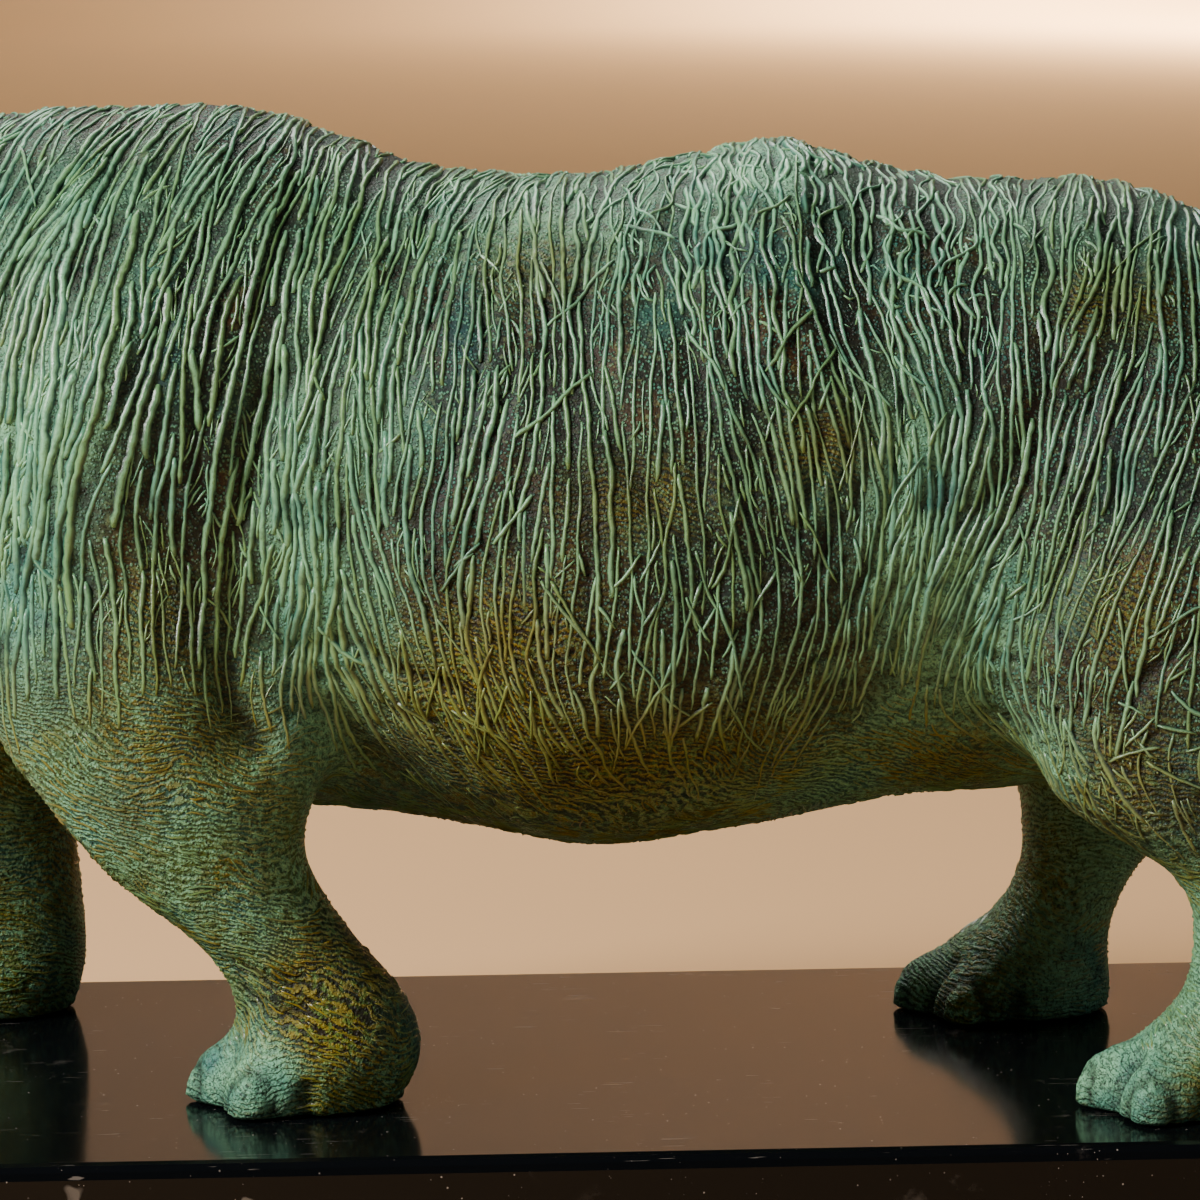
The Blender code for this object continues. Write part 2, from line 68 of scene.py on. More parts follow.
class Channel:
    """A number that runs through a material's nodes, usable in Python expressions."""

    def __init__(self, graph: "Graph", socket: bpy.types.NodeSocket) -> None:
        """Wraps an output socket of the graph."""
        self.graph = graph
        self.socket = socket

    def _math(self, operation: str, *values: "Channel | float") -> "Channel":
        """Adds a Math node."""
        return self.graph.node("ShaderNodeMath", {"operation": operation}, dict(enumerate(values)))

    def __add__(self, other: "Channel | float") -> "Channel":
        """self + other."""
        return self._math("ADD", self, other)

    __radd__ = __add__

    def __sub__(self, other: "Channel | float") -> "Channel":
        """self - other."""
        return self._math("SUBTRACT", self, other)

    def __rsub__(self, other: float) -> "Channel":
        """other - self."""
        return self._math("SUBTRACT", other, self)

    def __mul__(self, other: "Channel | float") -> "Channel":
        """self * other."""
        return self._math("MULTIPLY", self, other)

    __rmul__ = __mul__

    def sine(self) -> "Channel":
        """The sine of the number, in radians."""
        return self._math("SINE", self)

    def clamped(self) -> "Channel":
        """The number held between 0 and 1."""
        return self._math("MINIMUM", self._math("MAXIMUM", self, 0.0), 1.0)

    def ramp(self, low: float, high: float) -> "Channel":
        """A smooth step from 0 at low to 1 at high.

        Args:
            low: the value that gives 0.
            high: the value that gives 1. It may be the lower of the two.
        Returns:
            The stepped number.
        """
        settings = {"interpolation_type": "SMOOTHSTEP"}
        inputs = {"Value": self, "From Min": low, "From Max": high}
        return self.graph.node("ShaderNodeMapRange", settings, inputs)


class Graph:
    """The node graph of one material."""

    def __init__(self, name: str) -> None:
        """Makes an empty material with its Principled shader."""
        self.material = bpy.data.materials.new(name)
        self.material.use_nodes = True
        self.tree = self.material.node_tree
        self.shader = self.tree.nodes["Principled BSDF"]
        self.place = self.node("ShaderNodeTexCoord", output="Object")

    def node(
        self,
        kind: str,
        settings: dict[str, object] | None = None,
        inputs: dict[str | int, object] | None = None,
        output: str | int = 0,
    ) -> Channel:
        """Adds any node.

        Args:
            kind: the node's type.
            settings: its properties, set before its sockets.
            inputs: the values or links of its sockets, by name or number.
            output: the output socket that is wanted.
        Returns:
            The output as a channel.
        """
        made = self.tree.nodes.new(kind)
        for name, value in (settings or {}).items():
            setattr(made, name, value)
        for key, value in (inputs or {}).items():
            self.plug(made.inputs[key], value)
        return Channel(self, made.outputs[output])

    def plug(self, socket: bpy.types.NodeSocket, value: object) -> None:
        """Links a channel to a socket, or sets the socket's own value."""
        if isinstance(value, Channel):
            self.tree.links.new(value.socket, socket)
        elif socket.type == "RGBA":
            socket.default_value = (*value, 1.0)
        else:
            socket.default_value = value

    def attribute(self, name: str) -> Channel:
        """A number that the mesh carries."""
        return self.node("ShaderNodeAttribute", {"attribute_name": name}, output="Fac")

    def noise(
        self, size: float, detail: float = 3.0, rough: float = 0.55, place: Channel | None = None
    ) -> Channel:
        """Cloudy noise.

        Args:
            size: the size of its clouds in metres.
            detail: how many finer layers it has.
            rough: how strong the finer layers are.
            place: the coordinates, where they aren't the object's own.
        Returns:
            The noise, from 0 to 1.
        """
        inputs = {"Vector": place or self.place, "Scale": 1 / size, "Detail": detail, "Roughness": rough}
        return self.node("ShaderNodeTexNoise", inputs=inputs)

    def spots(self, size: float) -> Channel:
        """The distance from the nearest of many scattered points, in cells of a size in metres."""
        inputs = {"Vector": self.place, "Scale": 1 / size}
        return self.node("ShaderNodeTexVoronoi", inputs=inputs, output="Distance")

    def blend(self, share: Channel | float, first: Channel | Colour, second: Channel | Colour) -> Channel:
        """A mix of two colours.

        Args:
            share: how much of the second colour shows, from 0 to 1.
            first: the colour at 0.
            second: the colour at 1.
        Returns:
            The mixed colour.
        """
        made = self.tree.nodes.new("ShaderNodeMix")
        made.data_type = "RGBA"
        sockets = {"Factor_Float": share, "A_Color": first, "B_Color": second}
        for socket in made.inputs:
            if socket.identifier in sockets:
                self.plug(socket, sockets[socket.identifier])
        return Channel(self, next(s for s in made.outputs if s.identifier == "Result_Color"))

    def relief(self, height: Channel, depth: float) -> Channel:
        """A bump from a height.

        Args:
            height: the height, about 0 to 1.
            depth: how deep that is, in metres.
        Returns:
            The bent normal.
        """
        return self.node("ShaderNodeBump", inputs={"Strength": 1.0, "Distance": depth, "Height": height})

    def finish(self, **sockets: object) -> bpy.types.Material:
        """Sets the Principled shader's sockets and returns the material."""
        for name, value in sockets.items():
            self.plug(self.shader.inputs[name.replace("_", " ").title().replace("Ior", "IOR")], value)
        return self.material


@dataclass(frozen=True)
class Patina:
    """Verdigris over brown bronze. Display colours."""

    crest: Colour = linear(0.50, 0.73, 0.56)
    teal: Colour = linear(0.21, 0.46, 0.41)
    sea: Colour = linear(0.09, 0.36, 0.38)
    leaf: Colour = linear(0.36, 0.47, 0.15)
    ochre: Colour = linear(0.49, 0.43, 0.04)
    rust: Colour = linear(0.29, 0.18, 0.04)
    brown: Colour = linear(0.125, 0.09, 0.015)
    # A sooty black for dark grit, which also serves as painted shade in the skin's folds and at the threads'
    # feet.
    slate: Colour = linear(0.05, 0.13, 0.09)
    soot_and_shade: Colour = linear(0.028, 0.03, 0.014)

    def ground(self) -> bpy.types.Material:
        """The skin between the threads: dark brown above, green and ochre on the limbs, and darkened in its
        folds and creases as painted shade.

        Returns:
            The material.
        """
        g = Graph("patina_ground")
        cloud, patch = g.noise(0.045, 4), g.noise(0.012, 3)
        grain, grit = g.noise(0.0016, 4, 0.7), g.noise(0.0006, 2, 0.6)
        speck = g.spots(0.00075).ramp(0.52, 0.26)
        names = ("pale", "ochre", "sea", "dark", "limb", "fold_shade")
        pale, ochre, sea, dark, limb, fold_shade = (g.attribute(name) for name in names)
        ridge = self._ridges(g)
        colour = g.blend(cloud.ramp(0.42, 0.6), self.brown, self.slate)
        colour = g.blend(patch.ramp(0.52, 0.7) * 0.75, colour, self.rust)
        colour = g.blend(g.noise(0.022, 3).ramp(0.54, 0.7) * 0.6, colour, self.teal)
        colour = g.blend(dark * 0.5, colour, self.soot_and_shade)
        dusting = speck * (g.noise(0.004, 2).ramp(0.35, 0.6) * 0.75 + 0.25) * (1 - dark * 0.35)
        colour = g.blend(dusting * 0.9, colour, g.blend(cloud.ramp(0.42, 0.6) * 0.7, self.teal, self.crest))
        colour = g.blend(grain.ramp(0.52, 0.64) * 0.55, colour, g.blend(patch, self.teal, self.ochre))
        green = g.blend(patch.ramp(0.35, 0.65), self.teal, self.leaf)
        green = g.blend(ridge * 0.8, green, g.blend(cloud.ramp(0.42, 0.56), self.crest, self.ochre))
        green = g.blend((1 - ridge) * 0.4, green, g.blend(patch, self.soot_and_shade, self.brown))
        green = g.blend(grain.ramp(0.5, 0.6) * 0.7, green, self.crest)
        colour = g.blend((limb * 0.95).clamped(), colour, green)
        gold = g.blend((ridge * 0.7 + grit * 0.5).ramp(0.3, 0.8), self.brown, self.ochre)
        gold = g.blend(grain.ramp(0.5, 0.6) * 0.7, gold, self.leaf)
        colour = g.blend((ochre * (0.5 + cloud * 0.9)).clamped(), colour, gold)
        verdigris = g.blend(patch.ramp(0.4, 0.7) * 0.7, self.crest, self.teal)
        verdigris = g.blend(grain.ramp(0.5, 0.38) * 0.6, verdigris, self.brown)
        colour = g.blend((pale * (0.75 + grain * 0.9)).clamped(), colour, verdigris)
        colour = g.blend((sea * patch.ramp(0.3, 0.6) * 0.8).clamped(), colour, self.sea)
        colour = g.blend(grit.ramp(0.48, 0.36) * 0.7, colour, self.soot_and_shade)
        # Painted shade: the skin turns near black in its folds and creases.
        colour = g.blend(fold_shade * 0.85, colour, self.soot_and_shade)
        lumps = grain * 0.4 + grit * 0.3 + speck * 0.4
        height = lumps + ridge * (limb + ochre).clamped() * 0.7
        rough = 0.46 + grain * 0.2
        normal = g.relief(height, 0.00045)
        return g.finish(base_color=colour, roughness=rough, normal=normal, specular_ior_level=0.3)

    def thread(self) -> bpy.types.Material:
        """The raised wax threads: pale verdigris on their crests, partly a painted highlight, and painted
        shade darkening their feet.

        Returns:
            The material.
        """
        g = Graph("patina_thread")
        cloud, patch = g.noise(0.045, 4), g.noise(0.010, 3)
        grain, grit = g.noise(0.0016, 3, 0.65), g.noise(0.0005, 2, 0.6)
        names = ("pale", "ochre", "sea", "dark", "limb", "crest", "tint")
        pale, ochre, sea, dark, limb, crest, tint = (g.attribute(name) for name in names)
        colour = g.blend(patch.ramp(0.42, 0.66) * 0.5, self.crest, self.teal)
        colour = g.blend((tint.ramp(0.5, 0.95) * 0.5).clamped(), colour, self.leaf)
        colour = g.blend((tint.ramp(0.35, 0.0) * 0.45).clamped(), colour, self.teal)
        colour = g.blend((grain.ramp(0.52, 0.66) * 0.3 + limb * 0.45).clamped(), colour, self.leaf)
        golden = (ochre * 0.85 + limb * g.noise(0.018, 3).ramp(0.42, 0.58) * 0.75).clamped()
        colour = g.blend(golden, colour, self.ochre)
        colour = g.blend((dark * 0.4 * patch.ramp(0.3, 0.7)).clamped(), colour, self.brown)
        colour = g.blend(cloud.ramp(0.44, 0.58) * (0.35 - pale * 0.3), colour, self.leaf)
        colour = g.blend(g.noise(0.006, 3, 0.6).ramp(0.54, 0.68) * 0.5, colour, self.brown)
        colour = g.blend((sea * patch.ramp(0.35, 0.6) * 0.7).clamped(), colour, self.sea)
        colour = g.blend(grit.ramp(0.42, 0.3) * 0.4, colour, self.soot_and_shade)
        # Painted shade: each thread and drop darkens towards its feet. Its paler crest is partly verdigris and
        # partly a painted highlight.
        foot = g.blend(pale * 0.6, self.soot_and_shade, self.teal)
        colour = g.blend((crest + grain * 0.4 - 0.2).ramp(0.2, 0.95), foot, colour)
        height = grain * 0.5 + grit * 0.4
        rough = 0.22 + grain * 0.22
        return g.finish(base_color=colour, roughness=rough, normal=g.relief(height, 0.00018))

    def _ridges(self, g: Graph) -> Channel:
        """The whorls' profile, broken up by grain, from 0 in a groove to 1 on a crest."""
        phase = (g.attribute("whorl") + g.noise(0.0025, 3) * 2.2) * math.tau
        return (phase.sine() * 0.3 + g.noise(0.0014, 3, 0.7)).ramp(0.28, 0.74)


@dataclass(frozen=True)
class Marble:
    """Polished black stone with thin pale veins, flecks and fine wear."""

    black: Colour = linear(0.026, 0.034, 0.044)
    vein: Colour = linear(0.46, 0.43, 0.40)
    fleck: Colour = linear(0.66, 0.62, 0.58)

    def dressed(self) -> bpy.types.Material:
        """Makes the material.

        Returns:
            The material.
        """
        g = Graph("polished_marble")
        cloud = g.noise(0.03, 4)
        scratch = self._scratches(g, 0.4) + self._scratches(g, -0.9)
        dots = g.spots(0.0026).ramp(0.09, 0.04) * g.noise(0.009, 1).ramp(0.44, 0.58)
        dots = (dots + g.spots(0.0013).ramp(0.1, 0.04) * g.noise(0.02, 2).ramp(0.52, 0.66)).clamped()
        smudge = g.noise(0.012, 5, 0.6).ramp(0.62, 0.74) * g.noise(0.05, 1).ramp(0.5, 0.6)
        colour = g.blend((scratch * 0.65 + smudge * 0.28).clamped(), self.black, self.vein)
        colour = g.blend(dots * 0.8, colour, self.fleck)
        rough = 0.07 + cloud * 0.05 + (dots + scratch) * 0.2 + g.noise(0.0011, 2) * 0.05
        normal = g.relief(g.noise(0.0009, 2), 0.000005)
        return g.finish(base_color=colour, roughness=rough, normal=normal, ior=1.31)

    def _scratches(self, g: Graph, turn: float) -> Channel:
        """Hairline scratches along one direction."""
        inputs = {"Vector": g.place, "Rotation": (0.0, 0.0, turn), "Scale": (1.0, 26.0, 1.0)}
        place = g.node("ShaderNodeMapping", inputs=inputs)
        return g.noise(0.011, 2, 0.5, place).ramp(0.705, 0.735) * g.noise(0.02, 1).ramp(0.48, 0.6)


@dataclass(frozen=True)
class Plaster:
    """The plain pale stuff of the floor and the wall behind."""

    colour: Colour = linear(0.82, 0.635, 0.43)
    upper: Colour = linear(0.81, 0.72, 0.62)
    rough: float = 0.85

    def dressed(self) -> bpy.types.Material:
        """Makes the material.

        Returns:
            The material.
        """
        g = Graph("pale_plaster")
        colour = g.blend(g.attribute("wall"), self.colour, self.upper)
        colour = g.blend(g.noise(0.4, 2) * 0.12, colour, tuple(0.8 * c for c in self.colour))
        return g.finish(base_color=colour, roughness=self.rough)


@dataclass(frozen=True)
class Stance:
    """How the animal's own frame stands on the plinth: s towards the tail, t sideways, z above the soles."""

    heading: float = math.radians(5)
    along: float = 6 * MM
    aside: float = 3.5 * MM
    sole: float = 0.0253
    skull_origin: tuple[float, float] = (-166.0, 138.0)
    skull_slope: float = math.radians(41)

    def drawn(self, points: np.ndarray) -> np.ndarray:
        """World points in the animal's frame.

        Args:
            points: world points in metres, one a row.
        Returns:
            The same points as s, t and z in millimetres.
        """
        flat = np.atleast_2d(points) - (self.along, self.aside, self.sole)
        cos, sin = math.cos(self.heading), math.sin(self.heading)
        s = flat[:, 0] * cos - flat[:, 1] * sin
        t = flat[:, 0] * sin + flat[:, 1] * cos
        return np.stack([s, t, flat[:, 2]], axis=1) / MM

    def world(self, s: float, t: float, z: float) -> Vector:
        """A point of the animal's frame in the world, in metres."""
        cos, sin = math.cos(self.heading), math.sin(self.heading)
        x, y = s * cos + t * sin, t * cos - s * sin
        return Vector((x * MM + self.along, y * MM + self.aside, z * MM + self.sole))

    def skull(self, along: float, across: float, above: float) -> Vector:
        """A point of the head in the world: along the skull from the poll, across it and above its axis."""
        cos, sin = math.cos(self.skull_slope), math.sin(self.skull_slope)
        s = self.skull_origin[0] - cos * along - sin * above
        return self.world(s, across, self.skull_origin[1] - sin * along + cos * above)

    def on_skull(self, drawn: np.ndarray) -> np.ndarray:
        """Points of the animal's frame as along, across and above the skull's axis.

        Args:
            drawn: s, t and z in millimetres, one a row.
        Returns:
            Along, across and above, in millimetres, one a row.
        """
        cos, sin = math.cos(self.skull_slope), math.sin(self.skull_slope)
        ahead, high = drawn[:, 0] - self.skull_origin[0], drawn[:, 2] - self.skull_origin[1]
        return np.stack([-cos * ahead - sin * high, drawn[:, 1], -sin * ahead + cos * high], axis=1)

    def axis(self, lift: float = 0.0) -> Vector:
        """The direction from head to tail in the world, lifted by an angle."""
        level = math.cos(lift)
        return Vector((math.cos(self.heading) * level, -math.sin(self.heading) * level, math.sin(lift)))


@dataclass(frozen=True)
class Spot:
    """A soft patch on both flanks: its centre and reach in the animal's frame, and its strength."""

    s: float
    z: float
    reach_s: float
    reach_z: float
    strength: float = 1.0

    def on(self, drawn: np.ndarray) -> np.ndarray:
        """How much each point is in the patch."""
        away = ((drawn[:, 0] - self.s) / self.reach_s) ** 2 + ((drawn[:, 2] - self.z) / self.reach_z) ** 2
        return self.strength * np.exp(-away)


def amount(spots: Iterable[Spot], drawn: np.ndarray) -> np.ndarray:
    """How much each point is in these patches taken together."""
    return sum(spot.on(drawn) for spot in spots)


@dataclass(frozen=True)
class Zones:
    """Where the patina turns pale, ochre, sea-green or dark, where painted shade darkens a toe cleft, and
    where the limbs begin.
    """

    pale: tuple[Spot, ...] = (
        Spot(96, 172, 26, 8, 0.3),
        Spot(-55, 108, 7, 34, 1.15),
        Spot(-108, 116, 9, 24, 1.1),
        Spot(-100, 176, 30, 8, 0.35),
        Spot(-40, 138, 6, 22, 0.5),
        Spot(62, 114, 9, 22, 1.1),
        Spot(74, 96, 7, 16, 0.6),
        Spot(66, 80, 11, 11, 0.25),
        Spot(36, 181, 20, 9, 0.7),
        Spot(-12, 172, 26, 10, 0.5),
        Spot(-44, 86, 7, 12, 0.6),
        Spot(-73, 6, 8, 7, 0.8),
        Spot(-61, 7, 5, 6, 1.0),
        Spot(104, 24, 14, 14, 0.35),
        Spot(86, 66, 8, 8, 0.8),
        Spot(99, 8, 12, 12, 0.9),
        Spot(-106, 142, 16, 28, 0.6),
        Spot(112, 40, 10, 10, 0.4),
    )
    ochre: tuple[Spot, ...] = (
        Spot(4, 66, 32, 15, 0.95),
        Spot(-51, 23, 14, 15, 1.5),
        Spot(-30, 82, 22, 12, 0.6),
        Spot(104, 66, 18, 12, 0.75),
        Spot(-78, 72, 16, 10, 0.5),
        Spot(70, 66, 14, 8, 0.7),
        Spot(8, 120, 15, 8, 0.6),
        Spot(46, 129, 11, 8, 0.6),
        Spot(-10, 164, 12, 8, 0.6),
        Spot(-82, 98, 10, 10, 0.5),
        Spot(-14, 96, 16, 11, 0.7),
        Spot(100, 156, 12, 7, 0.55),
        Spot(100, 98, 12, 13, 0.5),
        Spot(-110, 150, 10, 8, 0.3),
    )
    sea: tuple[Spot, ...] = (
        Spot(103, 6, 8, 8, 0.7),
        Spot(-73, 7, 8, 8, 0.9),
        Spot(-57, 96, 4, 22, 0.6),
        Spot(-110, 104, 10, 18, 0.7),
        Spot(66, 118, 4, 14, 0.7),
        Spot(74, 100, 5, 14, 0.5),
        Spot(-36, 60, 10, 12, 0.5),
        Spot(-34, 20, 5, 15, 1.0),
        Spot(-45, 42, 4, 12, 0.8),
        Spot(-90, 60, 10, 14, 0.4),
        Spot(118, 64, 12, 16, 0.5),
        Spot(29, 165, 11, 6, 0.55),
        Spot(-82, 147, 5, 12, 0.6),
        Spot(-24, 148, 5, 14, 0.45),
        Spot(100, 124, 8, 8, 0.4),
    )
    dark: tuple[Spot, ...] = (
        Spot(22, 106, 30, 20),
        Spot(-76, 128, 12, 40, 0.5),
        Spot(92, 140, 26, 12, 0.8),
        Spot(-16, 150, 22, 12, 0.6),
        Spot(-14, 104, 14, 14, 0.6),
        Spot(-50, 6, 4.5, 5, 1.0),
        # Painted shade: these two darken the cleft between the forefoot's toes.
        Spot(-64, 16, 2.5, 8, 0.9),
        Spot(-67, 6, 2, 5, 0.9),
    )
    hem: tuple[tuple[float, float], ...] = (
        (-400, 40),
        (-170, 60),
        (-130, 72),
        (-100, 84),
        (-64, 86),
        (-48, 70),
        (-20, 62),
        (4, 68),
        (40, 72),
        (62, 84),
        (78, 68),
        (96, 54),
        (160, 56),
    )
    hem_softness: float = 6.0

    def limb(self, drawn: np.ndarray) -> np.ndarray:
        """1 below the hem of the coarse threads, 0 above it."""
        hem = np.interp(drawn[:, 0], [s for s, z in self.hem], [z for s, z in self.hem])
        return 1 / (1 + np.exp(np.clip((drawn[:, 2] - hem) / self.hem_softness, -30, 30)))

    def paleness(self, drawn: np.ndarray) -> float:
        """How pale a single point is, at most 1."""
        return float(min(amount(self.pale, drawn)[0], 1))

    def paint(self, mesh: bpy.types.Mesh, drawn: np.ndarray) -> None:
        """Writes the zones on a mesh.

        Args:
            mesh: the mesh that carries them.
            drawn: its vertices in the animal's frame.
        """
        for name in ("pale", "ochre", "sea", "dark"):
            carry(mesh, name, np.clip(amount(getattr(self, name), drawn), 0, 1))
        carry(mesh, "limb", self.limb(drawn))


def carry(mesh: bpy.types.Mesh, name: str, values: np.ndarray) -> None:
    """Writes one number for each vertex on a mesh.

    Args:
        mesh: the mesh.
        name: the attribute's name.
        values: the numbers.
    """
    attribute = mesh.attributes.new(name, "FLOAT", "POINT")
    attribute.data.foreach_set("value", np.ascontiguousarray(values, np.float32))


def vectors(collection: bpy.types.bpy_prop_collection, name: str) -> np.ndarray:
    """Three numbers of each item of a mesh's collection, one item a row."""
    flat = np.empty(len(collection) * 3, np.float32)
    collection.foreach_get(name, flat)
    return flat.reshape(-1, 3).astype(float)


def add_piece(name: str, mesh: bpy.types.Mesh, finish: bpy.types.Material) -> bpy.types.Object:
    """Puts a mesh in the scene.

    Args:
        name: the piece's name.
        mesh: its mesh.
        finish: its material.
    Returns:
        The new object.
    """
    mesh.name = name
    mesh.materials.clear()
    mesh.materials.append(finish)
    piece = bpy.data.objects.new(name, mesh)
    bpy.context.scene.collection.objects.link(piece)
    return piece


@dataclass(frozen=True)
class Furrow:
    """A crease pressed into the skin, in millimetres. One on the skull has a twin on the other side."""

    way: tuple[tuple[float, float, float], ...]
    depth: float
    width: float
    skull: bool = True


@dataclass(frozen=True)
class Foot:
    """A foot at toe level, and the nails on its front."""

    front: float
    rear: float
    side: float
    half_width: float
    toes: tuple[float, ...] = (-68, -8, 62)
    nail: tuple[float, float] = (4.6, 8.5)
    clefts: tuple[tuple[float, float], ...] = ((-38, 18), (28, 14), (-96, 6), (92, 6))
    nail_crease: tuple[float, float] = (0.9, 1.2)
    cleft_crease: tuple[float, float] = (2.1, 1.6)

    def around(self, angle: float, out: float, height: float) -> tuple[float, float, float]:
        """A point round the foot.

        Args:
            angle: degrees from straight ahead, negative towards the near side.
            out: how far sideways from there, in millimetres.
            height: above the sole.
        Returns:
            The point in the animal's frame.
        """
        turn = math.radians(angle)
        half = (self.rear - self.front) / 2
        s = self.front + half - math.cos(turn) * half + math.sin(turn) * out
        return s, self.side + math.sin(turn) * self.half_width + math.cos(turn) * out, height

    def furrows(self) -> list[Furrow]:
        """The creases round its nails and between its toes."""
        made = []
        for toe in self.toes:
            arch = [math.pi * step / 8 for step in range(9)]
            half, high = self.nail
            way = tuple(self.around(toe, half * math.cos(a), 1 + high * math.sin(a)) for a in arch)
            made.append(Furrow(way, *self.nail_crease, False))
        for cleft, top in self.clefts:
            way = tuple(self.around(cleft, 0.0, height) for height in (0.5, top / 2, top))
            made.append(Furrow(way, *self.cleft_crease, False))
        return made


@dataclass
class Skin:
    """The casting's skin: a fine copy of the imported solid, sunk a little so that the threads crest on it."""

    stance: Stance
    zones: Zones
    grain: "Grain"
    whorls: "Whorls"
    node: str = "rhinoceros"
    cell: float = 1.68 * MM
    relaxing: int = 18
    relaxing_shares: tuple[float, float] = (0.55, -0.56)
    sunk: float = 0.42 * MM
    sole_reach: float = 1.2 * MM
    drag_depth: float = 1.0 * MM
    drag_across: float = 7.5
    drag_along: float = 60.0
    drag_top: float = 150.0
    drag_narrow: float = 2.8
    drag_far_side: float = 5.0
    dent_depth: float = 0.35 * MM
    dent_size: float = 9.0
    furrows: tuple[Furrow, ...] = (
        Furrow(((44, 31, 8.5), (50, 32, 5.0), (57, 30, 8.0)), 0.9, 1.5),
        Furrow(((43, 29, 12.5), (50, 30, 14.0), (58, 28, 11.5)), 0.8, 1.6),
        Furrow(((40, 33, 2), (52, 33, -2), (62, 29, 1)), 0.7, 2.0),
        Furrow(((135, 0, -8), (122, 28, -9), (92, 30, -4)), 1.0, 1.4),
        Furrow(((118, 26, 6), (110, 28, 10)), 1.2, 2.2),
        Furrow(((66, 0, 24), (60, 16, 20), (54, 24, 16)), 0.8, 2.4),
        Furrow(((38, 0, 27), (36, 20, 22), (36, 32, 10)), 0.8, 3.0),
        Furrow(((24, 34, -2), (30, 34, -16), (44, 28, -28)), 0.8, 3.0),
        Furrow(((-60, 60, 142), (-66, 66, 112), (-64, 62, 84), (-62, 60, 74)), 1.5, 2.8, False),
        Furrow(((-60, -60, 142), (-66, -66, 112), (-64, -62, 84), (-62, -60, 74)), 1.5, 2.8, False),
        Furrow(((-69, -50, 30), (-63, -56, 26), (-56, -58, 27)), 0.9, 1.6, False),
        Furrow(((-69, -50, 24), (-62, -57, 20), (-54, -58, 22)), 0.8, 1.5, False),
    )
    feet: tuple[Foot, ...] = (
        Foot(-79.5, -35, -40, 17.5),
        Foot(-157, -109, 40, 18),
        Foot(93.5, 138, -43, 17),
        Foot(59.5, 106, 41, 17.5),
    )
    piece: bpy.types.Object | None = None
    tree: BVHTree | None = None

    def build(self) -> bpy.types.Object:
        """Makes the skin, carves it and puts it in place of the solid.

        Returns:
            The skin's object.
        """
        mesh = self._remeshed()
        points = vectors(mesh.vertices, "co")
        edges = np.empty(len(mesh.edges) * 2, np.int32)
        mesh.edges.foreach_get("vertices", edges)
        soles = points[:, 2] < self.stance.sole + self.sole_reach
        points = self._relaxed(points, edges.reshape(-1, 2), soles)
        mesh.vertices.foreach_set("co", points.astype(np.float32).ravel())
        mesh.update()
        normals = vectors(mesh.vertex_normals, "vector")
        faces = [tuple(face.vertices) for face in mesh.polygons]
        self.tree = BVHTree.FromPolygons([Vector(point) for point in points], faces)
        folds = self._folds(points)
        points -= normals * ((self.sunk + self.drag_depth * folds + self._dents(points)) * ~soles)[:, None]
        folds = np.maximum(folds, self._carve(points, normals))
        points[soles, 2] = np.maximum(points[soles, 2], self.stance.sole)
        mesh.vertices.foreach_set("co", points.astype(np.float32).ravel())
        mesh.update()
        mesh.shade_smooth()
        drawn = self.stance.drawn(points)
        self.zones.paint(mesh, drawn)
        # The folds and creases, which the skin's material darkens as painted shade.
        carry(mesh, "fold_shade", folds)
        levels = np.array([self.whorls.level(*point) for point in drawn.tolist()])
        carry(mesh, "whorl", levels / self.whorls.period)
        self.piece = add_piece("skin", mesh, Patina().ground())
        self.tree = BVHTree.FromPolygons([Vector(point) for point in points], faces)
        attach(self.piece, "root")
        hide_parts(self.node)
        return self.piece

    def _folds(self, points: np.ndarray) -> np.ndarray:
        """Where the skin is dragged into long folds along the grain.

        Args:
            points: the vertices.
        Returns:
            A share of the depth for each, from 0 to 1.
        """
        drawn = self.stance.drawn(points)
        lean = self.grain.lean(drawn[:, 0], drawn[:, 2])
        across = (drawn[:, 0] - lean * (self.drag_top - drawn[:, 2])) / self.drag_across
        along = drawn[:, 2] / self.drag_along
        sides = self.drag_far_side * (drawn[:, 1] > 0)
        rows = zip(across.tolist(), along.tolist(), sides.tolist())
        folds = np.array([1 - min(1.0, abs(noise.noise(row)) * self.drag_narrow) for row in rows])
        return folds**2 * (1 - self.zones.limb(drawn))

    def _dents(self, points: np.ndarray) -> np.ndarray:
        """How deep the skin is dented all over, in metres."""
        rows = (self.stance.drawn(points) / self.dent_size).tolist()
        return self.dent_depth * (0.5 + 0.5 * np.array([noise.noise(row) for row in rows]))

    def _remeshed(self) -> bpy.types.Mesh:
        """The solid's mesh in even cells."""
        shape = bmesh.new()
        shape.from_mesh(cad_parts[self.node].data)
        bmesh.ops.remove_doubles(shape, verts=shape.verts, dist=0.01 * MM)
        mesh = bpy.data.meshes.new("cells")
        shape.to_mesh(mesh)
        shape.free()
        holder = bpy.data.objects.new("cells", mesh)
        bpy.context.scene.collection.objects.link(holder)
        remesh = holder.modifiers.new("cells", "REMESH")
        remesh.mode = "VOXEL"
        remesh.voxel_size = self.cell
        made = bpy.data.meshes.new_from_object(holder.evaluated_get(bpy.context.evaluated_depsgraph_get()))
        bpy.data.objects.remove(holder)
        return made

    def _relaxed(self, points: np.ndarray, edges: np.ndarray, held: np.ndarray) -> np.ndarray:
        """Smooths the facets away without shrinking the form.

        Args:
            points: the vertices.
            edges: pairs of vertex numbers.
            held: which vertices keep their height.
        Returns:
            The smoothed vertices.
        """
        count = len(points)
        neighbours = np.bincount(edges.ravel(), minlength=count)[:, None]
        heights = points[held, 2].copy()
        for _ in range(self.relaxing):
            for share in self.relaxing_shares:
                total = np.zeros_like(points)
                for here, there in ((0, 1), (1, 0)):
                    for axis in range(3):
                        total[:, axis] += np.bincount(edges[:, here], points[edges[:, there], axis], count)
                points = points + share * (total / neighbours - points)
            points[held, 2] = heights
        return points

